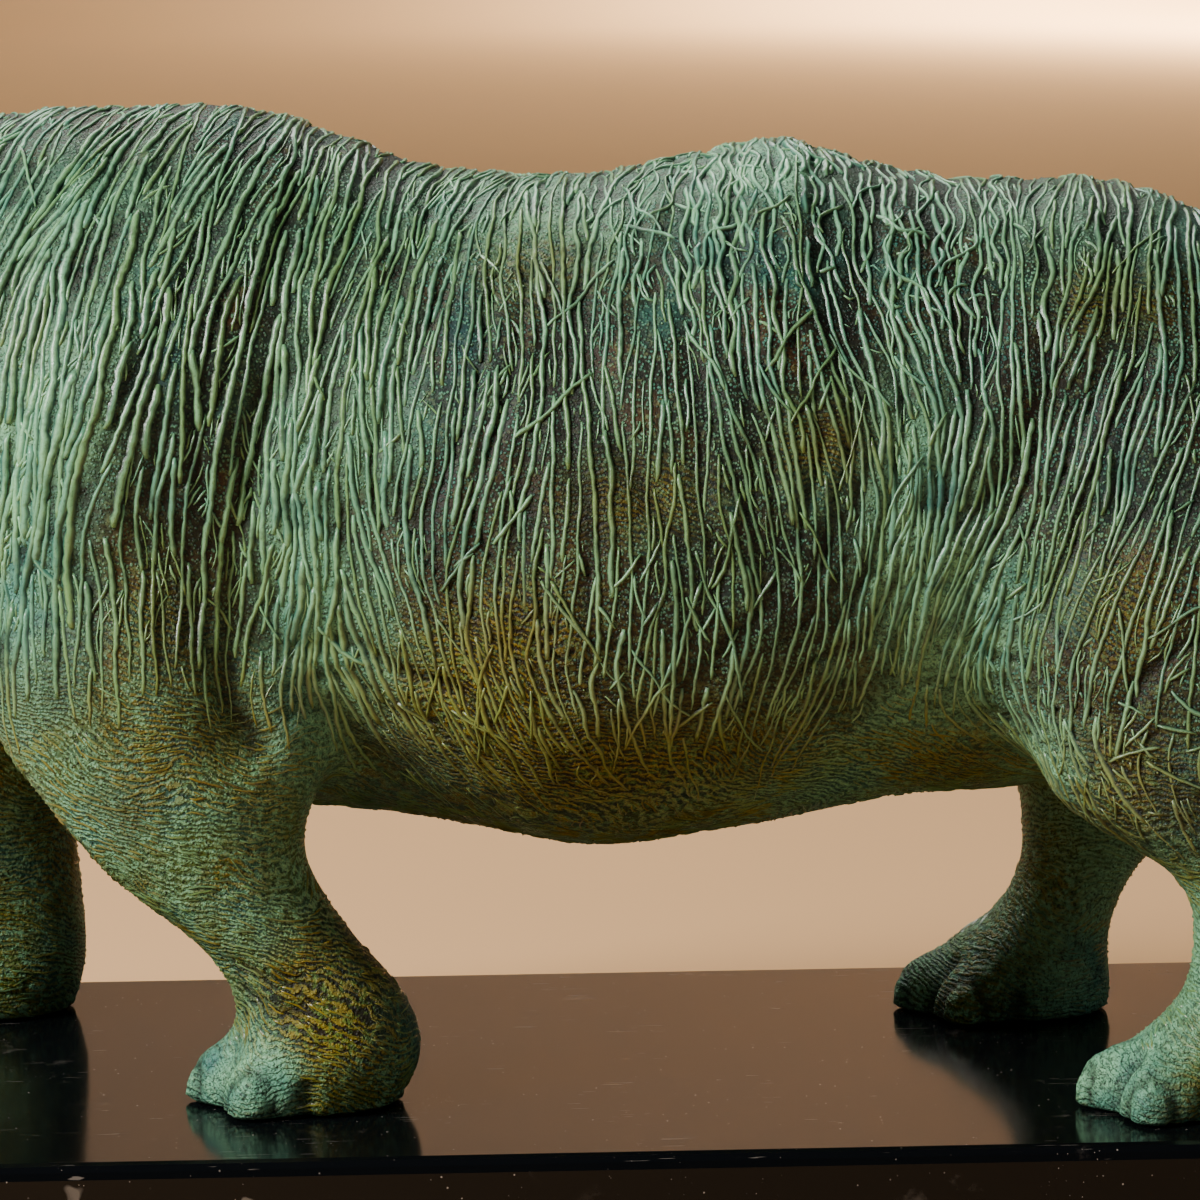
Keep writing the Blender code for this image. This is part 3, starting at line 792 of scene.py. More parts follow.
    def _carve(self, points: np.ndarray, normals: np.ndarray) -> np.ndarray:
        """Presses the creases into the skin.

        Args:
            points: the vertices, changed in place.
            normals: their normals.
        Returns:
            How much each vertex is in a crease, from 0 to 1.
        """
        creased = np.zeros(len(points))
        for furrow in [*self.furrows, *(furrow for foot in self.feet for furrow in foot.furrows())]:
            for side in (-1, 1) if furrow.skull else (1,):
                placed = self.stance.skull if furrow.skull else self.stance.world
                way = [placed(first, side * across, above) for first, across, above in furrow.way]
                way = np.array([self.near(point)[0] for point in way])
                nearest = np.full(len(points), np.inf)
                for start, end in zip(way, way[1:]):
                    run = end - start
                    share = np.clip((points - start) @ run / (run @ run), 0, 1)
                    away = np.linalg.norm(points - start - share[:, None] * run, axis=1)
                    nearest = np.minimum(nearest, away)
                press = np.exp(-((nearest / (furrow.width * MM)) ** 2))
                points -= normals * (press * furrow.depth * MM)[:, None]
                creased = np.maximum(creased, press)
        return creased

    def near(self, point: Vector) -> tuple[Vector, Vector]:
        """The skin's nearest point and its normal."""
        place, normal, _, _ = self.tree.find_nearest(point)
        return place, normal


@dataclass(frozen=True)
class Grain:
    """Which way the threads run: around the body, leaning as the sculptor dragged them."""

    stance: Stance
    leans: tuple[tuple[float, float, float], ...] = (
        (-83, 158, -0.46),
        (-104, 170, -0.38),
        (-100, 124, -0.20),
        (-93, 97, 0.05),
        (-62, 140, -0.36),
        (-58, 97, -0.10),
        (-32, 168, -0.28),
        (-26, 124, -0.26),
        (-40, 98, 0.2),
        (-46, 80, 0.5),
        (-26, 74, 0.62),
        (-8, 74, 0.55),
        (82, 66, 1.1),
        (95, 56, 1.3),
        (2, 148, -0.12),
        (-2, 101, -0.12),
        (21, 139, 0.30),
        (25, 106, 0.30),
        (49, 139, 0.36),
        (40, 84, -0.5),
        (64, 124, -0.1),
        (60, 96, -0.30),
        (77, 101, -0.5),
        (106, 120, -0.40),
        (102, 81, -0.55),
        (77, 168, -0.05),
        (120, 160, -0.1),
        (-140, 130, -0.1),
    )
    softness: float = 120.0
    head_start: float = -150.0
    head_full: float = -186.0
    drift: tuple[tuple[float, float], ...] = ((26.0, 0.24), (8.0, 0.16))
    sag: float = 0.3

    def lean(self, s: float | np.ndarray, z: float | np.ndarray) -> float | np.ndarray:
        """How far the threads' lower ends lean to the tail, read from the nearest rows."""
        weights = [((s - a) ** 2 + (z - b) ** 2 + self.softness) ** -2 for a, b, _ in self.leans]
        return sum(weight * row[2] for weight, row in zip(weights, self.leans)) / sum(weights)

    def direction(self, drawn: Sequence[float], normal: Vector) -> Vector:
        """The way of a thread at a point.

        Args:
            drawn: the point in the animal's frame.
            normal: the skin's normal there.
        Returns:
            A unit vector along the skin.
        """
        s, t, z = drawn
        turn = sum(strength * noise.noise(Vector((s, t, z)) / size) for size, strength in self.drift)
        share = min(max((s - self.head_start) / (self.head_full - self.head_start), 0), 1)
        axis = self.stance.axis(self.stance.skull_slope * share)
        around = axis.cross(normal)
        if around.z > 0:
            around.negate()
        along = axis - normal * axis.dot(normal)
        down = -UP + normal * normal.z
        way = around + along * self.lean(s, z) + down * self.sag
        way = way - normal * way.dot(normal)
        way = (way if way.length > 1e-4 else normal.orthogonal()).normalized()
        return turned(way, normal, turn)


def turned(way: Vector, normal: Vector, turn: float) -> Vector:
    """A direction along the skin, turned about the normal by an angle."""
    return way * math.cos(turn) + normal.cross(way) * math.sin(turn)


@dataclass(frozen=True)
class Whorls:
    """The fine ridges across the limbs and the belly, like those of a thumb. Lengths are millimetres."""

    period: float = 1.25
    tilt: float = 0.28
    drift: tuple[tuple[float, float], ...] = ((19.0, 7.0), (5.5, 0.8))

    def level(self, s: float, t: float, z: float) -> float:
        """A height whose steps of one period are the ridges."""
        spot = Vector((s, t, z))
        return z + self.tilt * s + sum(strength * noise.noise(spot / size) for size, strength in self.drift)

    def direction(self, drawn: Sequence[float], stance: Stance, normal: Vector) -> Vector:
        """The way along a ridge.

        Args:
            drawn: the point in the animal's frame.
            stance: how that frame lies in the world.
            normal: the skin's normal.
        Returns:
            A unit vector along the skin.
        """
        s, t, z = drawn
        here = self.level(s, t, z)
        steps = [self.level(s + 0.5, t, z), self.level(s, t + 0.5, z), self.level(s, t, z + 0.5)]
        slope = stance.world(*(step - here for step in steps)) - stance.world(0, 0, 0)
        way = normal.cross(slope)
        return (way if way.length > 1e-9 else normal.orthogonal()).normalized()


@dataclass(frozen=True)
class Lane:
    """How one kind of thread is laid. Lengths are millimetres and angles are radians."""

    spacing: float
    closest: float
    width: tuple[float, float]
    length: tuple[float, float]
    step: float
    wander: float
    swing: float
    rise: float
    merging: float
    section: tuple[tuple[float, float], ...]


ROUND = ((-1.3, -1.0), (-0.62, 0.66), (0.0, 1.0), (0.62, 0.66), (1.3, -1.0))
FLAT = ((-1.2, -1.0), (-0.42, 0.95), (0.42, 0.95), (1.2, -1.0))
RIDGE = ((-1.1, -1.0), (0.0, 1.0), (1.1, -1.0))


class Wax(Enum):
    """The kinds of thread."""

    COARSE = Lane(2.2, 0.42, (0.85, 1.6), (16, 120), 1.6, 0.08, 0.1, 0.48, 0.6, ROUND)
    FILL = Lane(1.05, 0.6, (0.4, 0.8), (2.6, 17), 1.3, 0.34, 0.34, 0.55, 0.4, FLAT)
    FINE = Lane(1.3, 0.55, (0.5, 0.95), (2.0, 9), 1.1, 0.14, 0.24, 0.35, 0.4, RIDGE)
    CROSSING = Lane(6.0, 0.0, (0.5, 0.95), (5, 22), 1.5, 0.2, 0.2, 0.5, 1.0, ROUND)


@dataclass
class Strand:
    """One thread: its way over the skin, the skin's normals, its size, tint and section, and its fading."""

    points: list[Vector]
    normals: list[Vector]
    width: float
    rise: float
    tint: float
    section: tuple[tuple[float, float], ...]
    lift: float = 0.0
    fade: np.ndarray | float = 1.0


@dataclass
class Start:
    """A thread's start: its place, the skin's normal, its turn from the grain, and if it is a limb's."""

    place: Vector
    normal: Vector
    turn: float
    lower: bool


class Crowd:
    """Points already taken, kept in cells so that near ones are found quickly."""

    def __init__(self, cell: float) -> None:
        """Makes an empty crowd with cells of this size in metres."""
        self.cell = cell
        self.cells: dict[tuple[int, int, int], list[Vector]] = {}

    def _key(self, point: Vector) -> tuple[int, int, int]:
        """The cell that holds a point."""
        cell = self.cell
        return math.floor(point.x / cell), math.floor(point.y / cell), math.floor(point.z / cell)

    def add(self, points: Iterable[Vector]) -> None:
        """Takes these points."""
        for point in points:
            self.cells.setdefault(self._key(point), []).append(point)

    def near(self, point: Vector, reach: float) -> bool:
        """Whether a taken point is within reach, which is at most one cell.

        Args:
            point: the point that asks.
            reach: the distance in metres.
        Returns:
            True if one is near.
        """
        x, y, z = self._key(point)
        square = reach * reach
        for i in (x - 1, x, x + 1):
            for j in (y - 1, y, y + 1):
                for k in (z - 1, z, z + 1):
                    for other in self.cells.get((i, j, k), ()):
                        if (other - point).length_squared < square:
                            return True
        return False


@dataclass(frozen=True)
class Stretch:
    """A stretch of the head: its limits along the skull, above its axis and away from its middle."""

    along: tuple[float, float]
    above: tuple[float, float] = (-math.inf, math.inf)
    aside: tuple[float, float] = (-1.0, math.inf)

    def holds(self, along: float, across: float, above: float) -> bool:
        """Whether a point of the head is in it."""
        limits = (self.along, self.above, self.aside)
        return all(low < value < high for value, (low, high) in zip((along, above, abs(across)), limits))


HORNS = Stretch((58, math.inf), (23, math.inf), (-1.0, 20))
EARS = Stretch((-math.inf, 26), (24, math.inf), (17, math.inf))
EYES = Stretch((43, 57), (1, 15), (20, math.inf))
MUZZLE = Stretch((104, math.inf))


@dataclass(frozen=True)
class Bare:
    """Where no threads are laid. Lengths are millimetres in the animal's frame."""

    sole: float = 1.0
    edge: float = 3.0
    edge_facing: float = -0.5
    tail: float = 149.0
    tail_half_width: float = 9.0
    toe_ahead: float = 4.0
    toe_reach: float = 23.0
    toe_height: float = 12.0
    toe_half_width: float = 25.0
    head: float = -166.0
    stretches: tuple[Stretch, ...] = (HORNS, EARS, EYES, MUZZLE)


@dataclass(frozen=True)
class Habits:
    """How the threads vary: shares, radians, and metres where MM stands. Pairs are the ends of even draws."""

    waves: tuple[float, float] = (0.25, 0.6)
    swings: tuple[float, float] = (0.2, 1.2)
    curling: float = 5.0
    spare_steps: int = 2
    hem_end: tuple[float, float] = (0.1, 0.92)
    hem_start: tuple[float, float] = (0.2, 0.8)
    least_step: float = 0.4
    least_facing: float = 0.2
    pale_closer: float = 0.28
    pale_wider: float = 0.3
    pale_flatter: float = 0.25
    shortness: float = 1.3
    start_share: tuple[float, float] = (0.25, 0.75)
    least_length: float = 0.75
    coarse_width: float = 0.8
    heights: tuple[float, float] = (0.8, 1.15)
    crossing_lift: float = 0.25 * MM
    crossing_turn: tuple[float, float] = (0.3, 0.8)
    steeper_turn: float = 0.75
    steeper_chance: float = 0.6
    start_room: float = 0.86
    side_stride: int = 3
    side_gap: tuple[float, float] = (0.9, 1.2)
    drape_step: float = 1.1 * MM
    drape_height: float = 0.5


@dataclass
class Threads:
    """The wax threads that cover the animal."""

    skin: Skin
    grain: Grain
    whorls: Whorls
    seed: int = 7
    starts: int = 9000
    crossing_starts: int = 5200
    wide_cell: float = 4.6 * MM
    tight_cell: float = 1.6 * MM
    most_triangles: int = 185000
    wide_gaps: tuple[Spot, ...] = (
        Spot(-84, 122, 20, 34, 0.42),
        Spot(20, 104, 30, 14, 0.3),
        Spot(108, 74, 15, 18, 1.8),
    )
    curls: tuple[Spot, ...] = (
        Spot(30, 172, 28, 16),
        Spot(66, 160, 24, 12),
        Spot(12, 64, 34, 10, 0.5),
    )
    crossing: tuple[Spot, ...] = (
        Spot(110, 72, 17, 16, 1.2),
        Spot(6, 92, 26, 14, 0.5),
        Spot(-32, 82, 22, 16, 0.45),
        Spot(-22, 112, 16, 20, 0.25),
        Spot(36, 168, 34, 14, 0.4),
        Spot(58, 140, 16, 16, 0.3),
    )
    crossing_anywhere: float = 0.03
    heavy: Spot = Spot(-95, 130, 45, 50, 0.3)
    hem_fade: float = 0.92
    habits: Habits = Habits()
    nowhere: Bare = Bare()
    strands: list[Strand] = field(default_factory=list)
    pieces: list[bpy.types.Object] = field(default_factory=list)

    def build(self) -> list[bpy.types.Object]:
        """Lays all the threads and meshes them.

        Returns:
            The pieces, each with its share of the threads.
        """
        self.rng = random.Random(self.seed)
        self.wide, self.tight = Crowd(self.wide_cell), Crowd(self.tight_cell)
        self._draw_rims()
        self._spread(Wax.COARSE, self.wide, lower=False)
        self._cross()
        self._spread(Wax.FILL, self.tight, lower=False)
        self._spread(Wax.FINE, self.tight, lower=True)
        self._mesh()
        return self.pieces

    def scattered(self, count: int) -> list[tuple[Vector, Vector]]:
        """Points scattered evenly over the skin, with its normals.

        Args:
            count: how many.
        Returns:
            Places and normals.
        """
        mesh = self.skin.piece.data
        areas = np.empty(len(mesh.polygons), np.float32)
        mesh.polygons.foreach_get("area", areas)
        picks = np.random.default_rng(self.seed + count).choice(len(areas), count, p=areas / areas.sum())
        centres = vectors(mesh.polygons, "center")[picks]
        normals = vectors(mesh.polygons, "normal")[picks]
        return [(Vector(c), Vector(n)) for c, n in zip(centres, normals)]

    def bare(self, drawn: Sequence[float], normal: Vector) -> bool:
        """Whether a place takes no laid threads: soles, toes, tail, horns, ears, eyes and muzzle.

        Args:
            drawn: the place in the animal's frame.
            normal: the skin's normal.
        Returns:
            True if the place stays bare.
        """
        s, t, z = drawn
        bare = self.nowhere
        if z < bare.sole or (z < bare.edge and normal.z < bare.edge_facing):
            return True
        if s > bare.tail and abs(t) < bare.tail_half_width:
            return True
        for foot in self.skin.feet:
            fore = foot.front - bare.toe_ahead < s < foot.front + bare.toe_reach
            if z < bare.toe_height and fore and abs(t - foot.side) < bare.toe_half_width:
                return True
        if s < bare.head:
            point = self.skin.stance.on_skull(np.array([drawn]))[0]
            return any(stretch.holds(*point) for stretch in bare.stretches)
        return False

    def _walk(self, start: Start, lane: Lane, crowd: Crowd, gap: float, reach: float, sign: int) -> list:
        """Follows the grain from a start.

        Args:
            start: where the thread starts, and its turn.
            lane: the kind of thread.
            crowd: the points that it keeps clear of.
            gap: how clear, in metres.
            reach: how far to go, in millimetres.
            sign: 1 or -1, with or against the grain.
        Returns:
            Points and normals, without the start.
        """
        made, habits = [], self.habits
        place, normal, previous = start.place, start.normal, None
        wave, phase = self.rng.uniform(*habits.waves), self.rng.uniform(0, math.tau)
        point = self.skin.stance.drawn(np.array(place))
        curl = 1 + habits.curling * float(amount(self.curls, point)[0])
        swing = lane.swing * curl * self.rng.uniform(*habits.swings)
        spare = habits.spare_steps if self.rng.random() < lane.merging else 0
        edge = self.rng.uniform(*habits.hem_end)
        for number in range(int(reach / lane.step)):
            point = self.skin.stance.drawn(np.array(place))
            limb = self.skin.zones.limb(point)[0]
            if self.bare(point[0], normal) or (limb > edge and not start.lower):
                break
            bend = start.turn + swing * math.sin(phase + wave * number * lane.step)
            if start.lower:
                way = self.whorls.direction(point[0].tolist(), self.skin.stance, normal)
            else:
                way = self.grain.direction(point[0].tolist(), normal)
            way = turned(way, normal, bend) * sign
            if previous is not None and way.dot(previous) < 0:
                way = -way
            found, facing = self.skin.near(place + way * lane.step * MM)
            short = (found - place).length < habits.least_step * lane.step * MM
            if short or facing.dot(normal) < habits.least_facing:
                break
            if gap and crowd.near(found, gap):
                if spare == 0:
                    break
                spare -= 1
            previous, place, normal = way, found, facing
            made.append((place, normal))
        return made

    def _gap(self, lane: Lane, drawn: np.ndarray) -> float:
        """The spacing of a kind of thread at a point, in metres."""
        wider = float(amount(self.wide_gaps, drawn)[0]) if lane is Wax.COARSE.value else 0.0
        fused = self.skin.zones.paleness(drawn)
        return lane.spacing * (1 + wider - self.habits.pale_closer * fused) * MM

    def _lay(self, start: Start, kind: Wax, crowd: Crowd, spacing: float) -> list:
        """Lays one thread both ways from a start.

        Args:
            start: where it starts.
            kind: the kind of thread.
            crowd: the points that it keeps clear of.
            spacing: the spacing there, in metres.
        Returns:
            Its points and normals, or nothing where there is no room.
        """
        lane, rng, habits = kind.value, self.rng, self.habits
        reach = lane.length[0] + (lane.length[1] - lane.length[0]) * rng.random() ** habits.shortness
        gap = spacing * lane.closest
        share = rng.uniform(*habits.start_share)
        back = self._walk(start, lane, crowd, gap, reach * share, -1)
        ahead = self._walk(start, lane, crowd, gap, reach * (1 - share), 1)
        way = [*reversed(back), (start.place, start.normal), *ahead]
        if len(way) * lane.step < habits.least_length * lane.length[0]:
            return []
        point = self.skin.stance.drawn(np.array(start.place))
        fused = self.skin.zones.paleness(point)
        heavy = habits.coarse_width + float(self.heavy.on(point)[0]) if kind is Wax.COARSE else 1.0
        width = rng.uniform(*lane.width) * MM * (1 + habits.pale_wider * fused) * heavy
        lift = habits.crossing_lift if kind is Wax.CROSSING else 0.0
        share = lane.rise * rng.uniform(*habits.heights) * (1 - habits.pale_flatter * fused)
        self._keep(way, width, share, rng.random(), lift, lane.section)
        if not start.lower:
            places = self.skin.stance.drawn(np.array([place for place, _ in way]))
            self.strands[-1].fade = 1 - self.hem_fade * self.skin.zones.limb(places)
        return way

    def _spread(self, kind: Wax, crowd: Crowd, lower: bool) -> None:
        """Lays threads side by side from many starts, until the skin is covered.

        Args:
            kind: the kind of thread.
            crowd: the points that they keep clear of.
            lower: whether they go on the limbs and the belly, or above the hem.
        """
        lane, rng, habits = kind.value, self.rng, self.habits
        queue = deque(self.scattered(self.starts))
        while queue:
            place, normal = queue.popleft()
            point = self.skin.stance.drawn(np.array(place))
            limb = self.skin.zones.limb(point)[0] > rng.uniform(*habits.hem_start)
            if limb != lower or self.bare(point[0], normal):
                continue
            spacing = self._gap(lane, point)
            if crowd.near(place, min(habits.start_room * spacing, crowd.cell)):
                continue
            start = Start(place, normal, rng.gauss(0, lane.wander), lower)
            way = self._lay(start, kind, crowd, spacing)
            for number in range(1, len(way) - 1, habits.side_stride):
                place, normal = way[number]
                side = normal.cross(way[number + 1][0] - way[number - 1][0]).normalized()
                for sign in (-1, 1):
                    aside = sign * spacing * rng.uniform(*habits.side_gap)
                    queue.appendleft(self.skin.near(place + side * aside))

    def _cross(self) -> None:
        """Lays the threads that cross the others."""
        rng, habits = self.rng, self.habits
        for place, normal in self.scattered(self.crossing_starts):
            point = self.skin.stance.drawn(np.array(place))
            chance = self.crossing_anywhere + float(amount(self.crossing, point)[0])
            if self.skin.zones.limb(point)[0] > 0.5 or self.bare(point[0], normal) or rng.random() > chance:
                continue
            steeper = habits.steeper_turn * (chance > habits.steeper_chance)
            turn = rng.choice((-1, 1)) * (rng.uniform(*habits.crossing_turn) + steeper)
            self._lay(Start(place, normal, turn, False), Wax.CROSSING, self.tight, 0.0)

    def _keep(
        self, way: list, width: float, share: float, tint: float, lift: float = 0.0, section: tuple = ROUND
    ) -> None:
        """Keeps a thread and takes its place.

        Args:
            way: its points and normals.
            width: its width in metres.
            share: its height as a share of its width.
            tint: its own tint, from 0 to 1.
            lift: how far it lies above the skin.
            section: the corners of its section.
        """
        points, normals = [point for point, _ in way], [normal for _, normal in way]
        self.strands.append(Strand(points, normals, width, width * share, tint, section, lift))
        self.wide.add(points)
        self.tight.add(points)

    def _drape(self, way: Sequence[Vector], width: float) -> None:
        """Lays a thread along a drawn way, pressed onto the skin.

        Args:
            way: world points near the skin.
            width: its width in metres.
        """
        fine = []
        for start, end in zip(way, way[1:]):
            pieces = max(1, round((end - start).length / self.habits.drape_step))
            fine += [start.lerp(end, number / pieces) for number in range(pieces)]
        fine.append(way[-1])
        laid = [self.skin.near(point) for point in fine]
        self._keep(laid, width, self.habits.drape_height, self.rng.random())

    def _draw_rims(self) -> None:
        """Lays the eyelids, the nostrils' rims and the lips."""
        skull = self.skin.stance.skull
        for side in (-1, 1):
            for rise, first, last in ((5.0, 0.05, 0.95), (4.2, 1.1, 1.9)):
                angles = [math.pi * (first + (last - first) * step / 10) for step in range(11)]
                lid = [skull(50 - 7.2 * math.cos(a), side * 33, 8 + rise * math.sin(a)) for a in angles]
                self._drape(lid, 1.3 * MM)
            ring = [math.tau * step / 16 for step in range(17)]
            rim = [skull(114 + 5.5 * math.cos(a), side * 30, 8 + 4 * math.sin(a)) for a in ring]
            self._drape(rim, 1.4 * MM)
            for drop in (0.0, 4.2):
                lip = ((129, 10, -6), (122, 29, -6 - drop), (108, 31, -5 - drop), (92, 31, -2 - drop))
                self._drape([skull(along, side * across, above) for along, across, above in lip], 1.2 * MM)

    def _mesh(self) -> None:
        """Meshes the threads in pieces that stay under the limit."""
        batch, triangles = [], 0
        for strand in self.strands:
            batch.append(strand)
            triangles += 2 * (len(strand.section) - 1) * len(strand.points)
            if triangles > self.most_triangles:
                self._add(batch)
                batch, triangles = [], 0
        if batch:
            self._add(batch)

    def _add(self, batch: list[Strand]) -> None:
        """Adds one piece of threads.

        Args:
            batch: its threads.
        """
        verts, faces, crests, tints = [], [], [], []
        count = 0
        for strand in batch:
            section = strand.section
            tube = tube_points(strand, section)
            rings, sides = tube.shape[:2]
            verts.append(tube.reshape(-1, 3))
            faces += tube_faces(rings, sides, count)
            crests.append(np.tile([max(high, 0.0) for _, high in section], rings))
            tints.append(np.full(rings * sides, strand.tint))
            count += rings * sides
        mesh = bpy.data.meshes.new("threads")
        points = np.concatenate(verts)
        mesh.from_pydata(points.tolist(), [], faces)
        mesh.shade_smooth()
        # Height in the section, from which the material paints shade at the feet and a partly painted
        # highlight on top.
        carry(mesh, "crest", np.concatenate(crests))
        carry(mesh, "tint", np.concatenate(tints))
        self.skin.zones.paint(mesh, self.skin.stance.drawn(points))
        finish = self.pieces[0].data.materials[0] if self.pieces else Patina().thread()
        piece = add_piece(f"threads_{len(self.pieces) + 1}", mesh, finish)
        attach(piece, "root")
        self.pieces.append(piece)


FOOT_DEPTH = 0.35 * MM
DROP_TINT = 0.4


@dataclass(frozen=True)
class Rolling:
    """How unevenly a thread is rolled, in shares of its width. A wave is strength, pitch and shift."""

    tip: float = 0.55
    growth: float = 2.2
    curve: float = 0.7
    end_length: float = 1.3
    faded: float = 0.4
    swells: tuple[tuple[float, float, float], ...] = ((0.14, 700, 40), (0.12, 1700, 90))
    wobbles: tuple[tuple[float, float, float], ...] = ((0.10, 450, 70), (0.08, 2300, 20))


ROLLING = Rolling()


def tube_points(strand: Strand, section: Sequence[tuple[float, float]]) -> np.ndarray:
    """The rings of a thread: a half-round section that sinks into the skin at both ends.

    Args:
        strand: the thread.
        section: sideways and upward shares of each corner. A share of -1 upward is the foot.
    Returns:
        Points by ring, corner and axis.
    """
    places = np.array(strand.points)
    normals = np.array(strand.normals)
    if len(places) > 4:
        places[1:-1] = (places[:-2] + 2 * places[1:-1] + places[2:]) / 4
        normals[1:-1] = normals[:-2] + normals[1:-1] + normals[2:]
    normals /= np.linalg.norm(normals, axis=1)[:, None]
    ways = np.gradient(places, axis=0)
    ways /= np.linalg.norm(ways, axis=1)[:, None] + 1e-12
    sides = np.cross(ways, normals)
    steps = np.linalg.norm(np.diff(places, axis=0), axis=1)
    run = np.concatenate([[0], np.cumsum(steps)])
    ends = np.minimum(run, run[-1] - run) / (ROLLING.end_length * strand.width)
    taper = np.clip(ROLLING.tip + ROLLING.growth * ends, 0, 1) ** ROLLING.curve
    uneven, wobble = (
        sum((strength * np.sin(run * pitch + strand.tint * shift) for strength, pitch, shift in waves), start)
        for waves, start in ((ROLLING.swells, 1.0), (ROLLING.wobbles, 0.0))
    )
    places += sides * (strand.width * wobble)[:, None]
    half = strand.width / 2 * taper * uneven * (ROLLING.faded + (1 - ROLLING.faded) * strand.fade)
    rings = []
    for sideways, high in section:
        rise = -FOOT_DEPTH if high < 0 else high * strand.rise * taper - FOOT_DEPTH * (1 - taper)
        rise = (rise + strand.lift * taper * (high > 0)) * (strand.fade if high > 0 else 1)
        risen = normals * np.reshape(rise * np.ones(len(run)), (-1, 1))
        rings.append(places + sides * (sideways * half)[:, None] + risen)
    return np.stack(rings, axis=1)


def tube_faces(rings: int, sides: int, first: int) -> list[tuple[int, ...]]:
    """The faces of a half-round thread, whose feet are in the skin.

    Args:
        rings: how many rings it has.
        sides: how many corners each ring has.
        first: the number of its first vertex.
    Returns:
        Quads along the thread and a cap at each end.
    """
    faces = []
    for ring in range(rings - 1):
        here = first + ring * sides
        for side in range(sides - 1):
            faces.append((here + side, here + side + 1, here + sides + side + 1, here + sides + side))
    faces.append(tuple(first + side for side in reversed(range(sides))))
    faces.append(tuple(first + (rings - 1) * sides + side for side in range(sides)))
    return faces


@dataclass
class Dots:
    """Small drops of wax scattered between the threads."""

    skin: Skin
    threads: Threads
    count: int = 9000
    radius: tuple[float, float] = (0.16 * MM, 0.36 * MM)
    clear: float = 0.5 * MM
    sides: int = 5
    rings: tuple[tuple[float, float], ...] = ((1.0, -0.6), (0.75, 0.5))
    crown: float = 0.9

    def build(self) -> bpy.types.Object:
        """Makes the drops as one piece.

        Returns:
            The piece.
        """
        rng = random.Random(11)
        verts, faces, crests = [], [], []
        for place, normal in self.threads.scattered(self.count):
            drawn = self.skin.stance.drawn(np.array(place))[0]
            if self.threads.bare(drawn, normal) or self.threads.tight.near(place, self.clear):
                continue
            radius = rng.uniform(*self.radius)
            across = normal.orthogonal().normalized()
            turn = Matrix.Rotation(rng.uniform(0, math.tau), 3, normal)
            first, second = turn @ across, turn @ normal.cross(across)
            base = len(verts)
            for share, rise in self.rings:
                for step in range(self.sides):
                    angle = math.tau * step / self.sides
                    out = first * math.cos(angle) + second * math.sin(angle)
                    verts.append(place + out * (radius * share) + normal * (radius * rise))
                    crests.append(max(rise, 0.0))
            verts.append(place + normal * (radius * self.crown))
            crests.append(1.0)
            for step in range(self.sides):
                after = (step + 1) % self.sides
                faces.append((base + step, base + after, base + self.sides + after, base + self.sides + step))
                faces.append((base + self.sides + step, base + self.sides + after, base + 2 * self.sides))
        mesh = bpy.data.meshes.new("drops")
        mesh.from_pydata(verts, [], faces)
        mesh.shade_smooth()
        # Height in the drop, from which the material paints shade at its foot and a partly painted highlight
        # on top.
        carry(mesh, "crest", np.array(crests))
        carry(mesh, "tint", np.full(len(verts), DROP_TINT))
        self.skin.zones.paint(mesh, self.skin.stance.drawn(np.array(verts)))
        piece = add_piece("drops", mesh, self.threads.pieces[0].data.materials[0])
        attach(piece, "root")
        return piece


@dataclass
class Plinth:
    """The marble slab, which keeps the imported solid's shape."""

    node: str = "plinth"

    def dress(self) -> bpy.types.Object:
        """Gives the slab its polish.

        Returns:
            The slab.
        """
        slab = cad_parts[self.node]
        slab.data.materials.clear()
        slab.data.materials.append(Marble().dressed())
        return slab


@dataclass(frozen=True)
class Lamp:
    """A soft rectangular light: its place, size, power, colour and aim, and if the marble mirrors it."""

    name: str
    place: tuple[float, float, float]
    size: tuple[float, float]
    power: float
    colour: Colour = (1.0, 1.0, 1.0)
    aim: tuple[float, float, float] = (0.0, 0.0, 0.118)
    mirrored: bool = True

    def hang(self) -> bpy.types.Object:
        """Puts the light in the scene, turned to what it lights."""
        data = bpy.data.lights.new(self.name, "AREA")
        data.shape = "RECTANGLE"
        data.size, data.size_y = self.size
        data.energy = self.power
        data.color = self.colour
        lamp = bpy.data.objects.new(self.name, data)
        lamp.location = self.place
        lamp.rotation_euler = (Vector(self.aim) - lamp.location).to_track_quat("-Z", "Y").to_euler()
        lamp.visible_camera = False
        lamp.visible_glossy = self.mirrored
        bpy.context.scene.collection.objects.link(lamp)
        return lamp


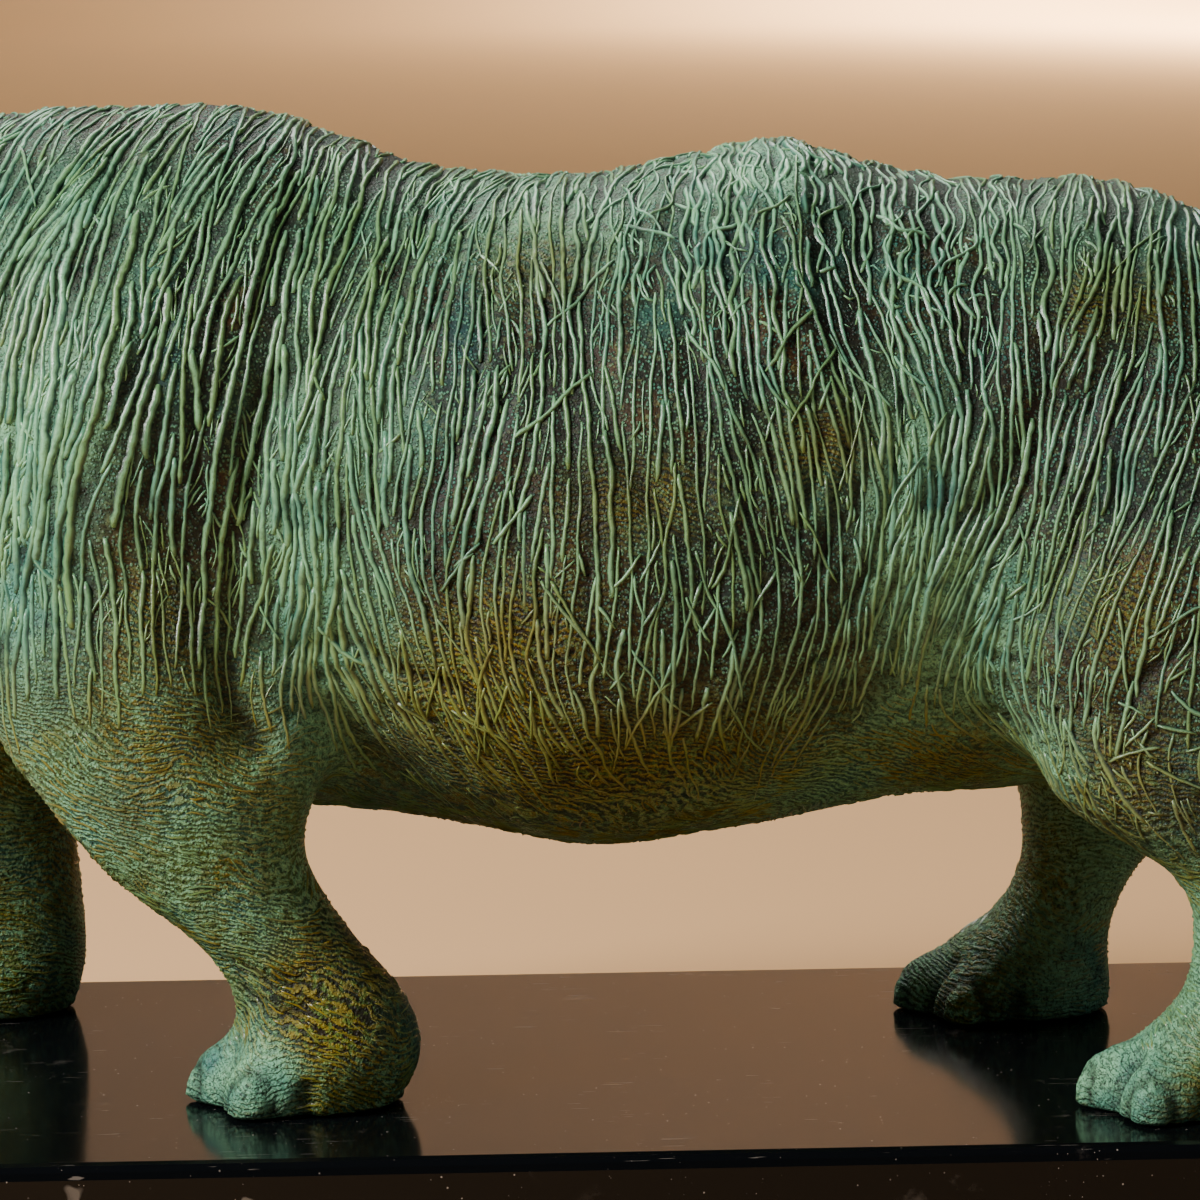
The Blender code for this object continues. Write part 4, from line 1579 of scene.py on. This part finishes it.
@dataclass
class Studio:
    """The pale sweep, the lights and the camera at the photograph's viewing angle."""

    azimuth: float = math.radians(-2.9402)
    elevation: float = math.radians(8.9759)
    roll: float = math.radians(-0.3839)
    distance: float = 1.150
    aim: Vector = Vector((0.006, 0.0, 0.118083))
    focal_pixels: float = 5783.85
    image_pixels: float = 1200.0
    sensor: float = 36.0
    lamps: tuple[Lamp, ...] = (
        Lamp("key", (-0.95, -0.42, 0.80), (0.34, 0.26), 30.0, (1.0, 0.99, 0.96)),
        Lamp("fill", (0.9, -1.5, 0.6), (0.6, 0.6), 3.0, (0.95, 0.98, 1.0)),
        Lamp("rim", (-0.2, 0.95, 1.25), (0.9, 0.3), 17.0, (1.0, 0.98, 0.94)),
        Lamp("wash", (0.6, 2.6, 2.0), (1.5, 0.8), 40.0, (1.0, 0.98, 0.95), (0.6, 4.4, 0.6)),
        Lamp("glow", (1.0, 3.7, 0.3), (0.2, 1.5), 58.0, (1.0, 0.95, 0.88), (0.97, 3.73, 0.0), False),
    )
    sweep_half_width: float = 5.0
    sweep_front: float = -2.5
    sweep_back: float = 5.0
    sweep_radius: float = 1.0
    sweep_height: float = 2.8
    sweep_steps: int = 16
    pale_height: float = 0.7
    sky: Colour = (0.80, 0.78, 0.76)
    sky_strength: float = 0.07

    def build(self) -> None:
        """Makes the sweep, hangs the lights and sets the camera."""
        self._sweep()
        for lamp in self.lamps:
            lamp.hang()
        world = bpy.data.worlds.new("studio")
        world.use_nodes = True
        sky = world.node_tree.nodes["Background"]
        sky.inputs["Color"].default_value = (*self.sky, 1.0)
        sky.inputs["Strength"].default_value = self.sky_strength
        bpy.context.scene.world = world
        self._camera()

    def _sweep(self) -> bpy.types.Object:
        """A floor that curves up into a wall."""
        start = self.sweep_back - self.sweep_radius
        profile = [(self.sweep_front, 0.0)]
        for step in range(self.sweep_steps + 1):
            angle = math.pi / 2 * step / self.sweep_steps
            rise = self.sweep_radius * (1 - math.cos(angle))
            profile.append((start + self.sweep_radius * math.sin(angle), rise))
        profile.append((self.sweep_back, self.sweep_height))
        shape = bmesh.new()
        half = self.sweep_half_width
        rows = [[shape.verts.new((x, y, z)) for x in (-half, half)] for y, z in profile]
        for lower, upper in zip(rows, rows[1:]):
            shape.faces.new((lower[0], lower[1], upper[1], upper[0]))
        mesh = bpy.data.meshes.new("floor")
        shape.to_mesh(mesh)
        shape.free()
        mesh.shade_smooth()
        carry(mesh, "wall", np.clip(vectors(mesh.vertices, "co")[:, 2] / self.pale_height, 0, 1))
        floor = add_piece("floor", mesh, Plaster().dressed())
        return floor

    def _camera(self) -> bpy.types.Object:
        """The camera that saw the photograph."""
        data = bpy.data.cameras.new("camera")
        data.sensor_width = self.sensor
        data.lens = self.sensor * self.focal_pixels / self.image_pixels
        level, rise = math.cos(self.elevation), math.sin(self.elevation)
        back = Vector((math.sin(self.azimuth) * level, -math.cos(self.azimuth) * level, rise))
        right = (-back).cross(UP).normalized()
        up = back.cross(right)
        right = right * math.cos(self.roll) + up * math.sin(self.roll)
        up = back.cross(right)
        camera = bpy.data.objects.new("camera", data)
        turn = Matrix((right, up, back)).transposed().to_4x4()
        camera.matrix_world = Matrix.Translation(self.aim + back * self.distance) @ turn
        bpy.context.scene.collection.objects.link(camera)
        bpy.context.scene.camera = camera
        return camera


def report(piece: bpy.types.Object) -> None:
    """Logs a piece's name and how many triangles it has."""
    triangles = sum(len(face.vertices) - 2 for face in piece.data.polygons)
    log.info("%s: %d triangles", piece.name, triangles)


def main() -> None:
    """Builds everything in order."""
    logging.basicConfig(level=logging.INFO, format="%(name)s %(message)s")
    Studio().build()
    stance = Stance()
    grain = Grain(stance)
    whorls = Whorls()
    skin = Skin(stance, Zones(), grain, whorls)
    report(skin.build())
    threads = Threads(skin, grain, whorls)
    for piece in threads.build():
        report(piece)
    report(Dots(skin, threads).build())
    report(Plinth().dress())


if __name__ == "__main__":
    main()
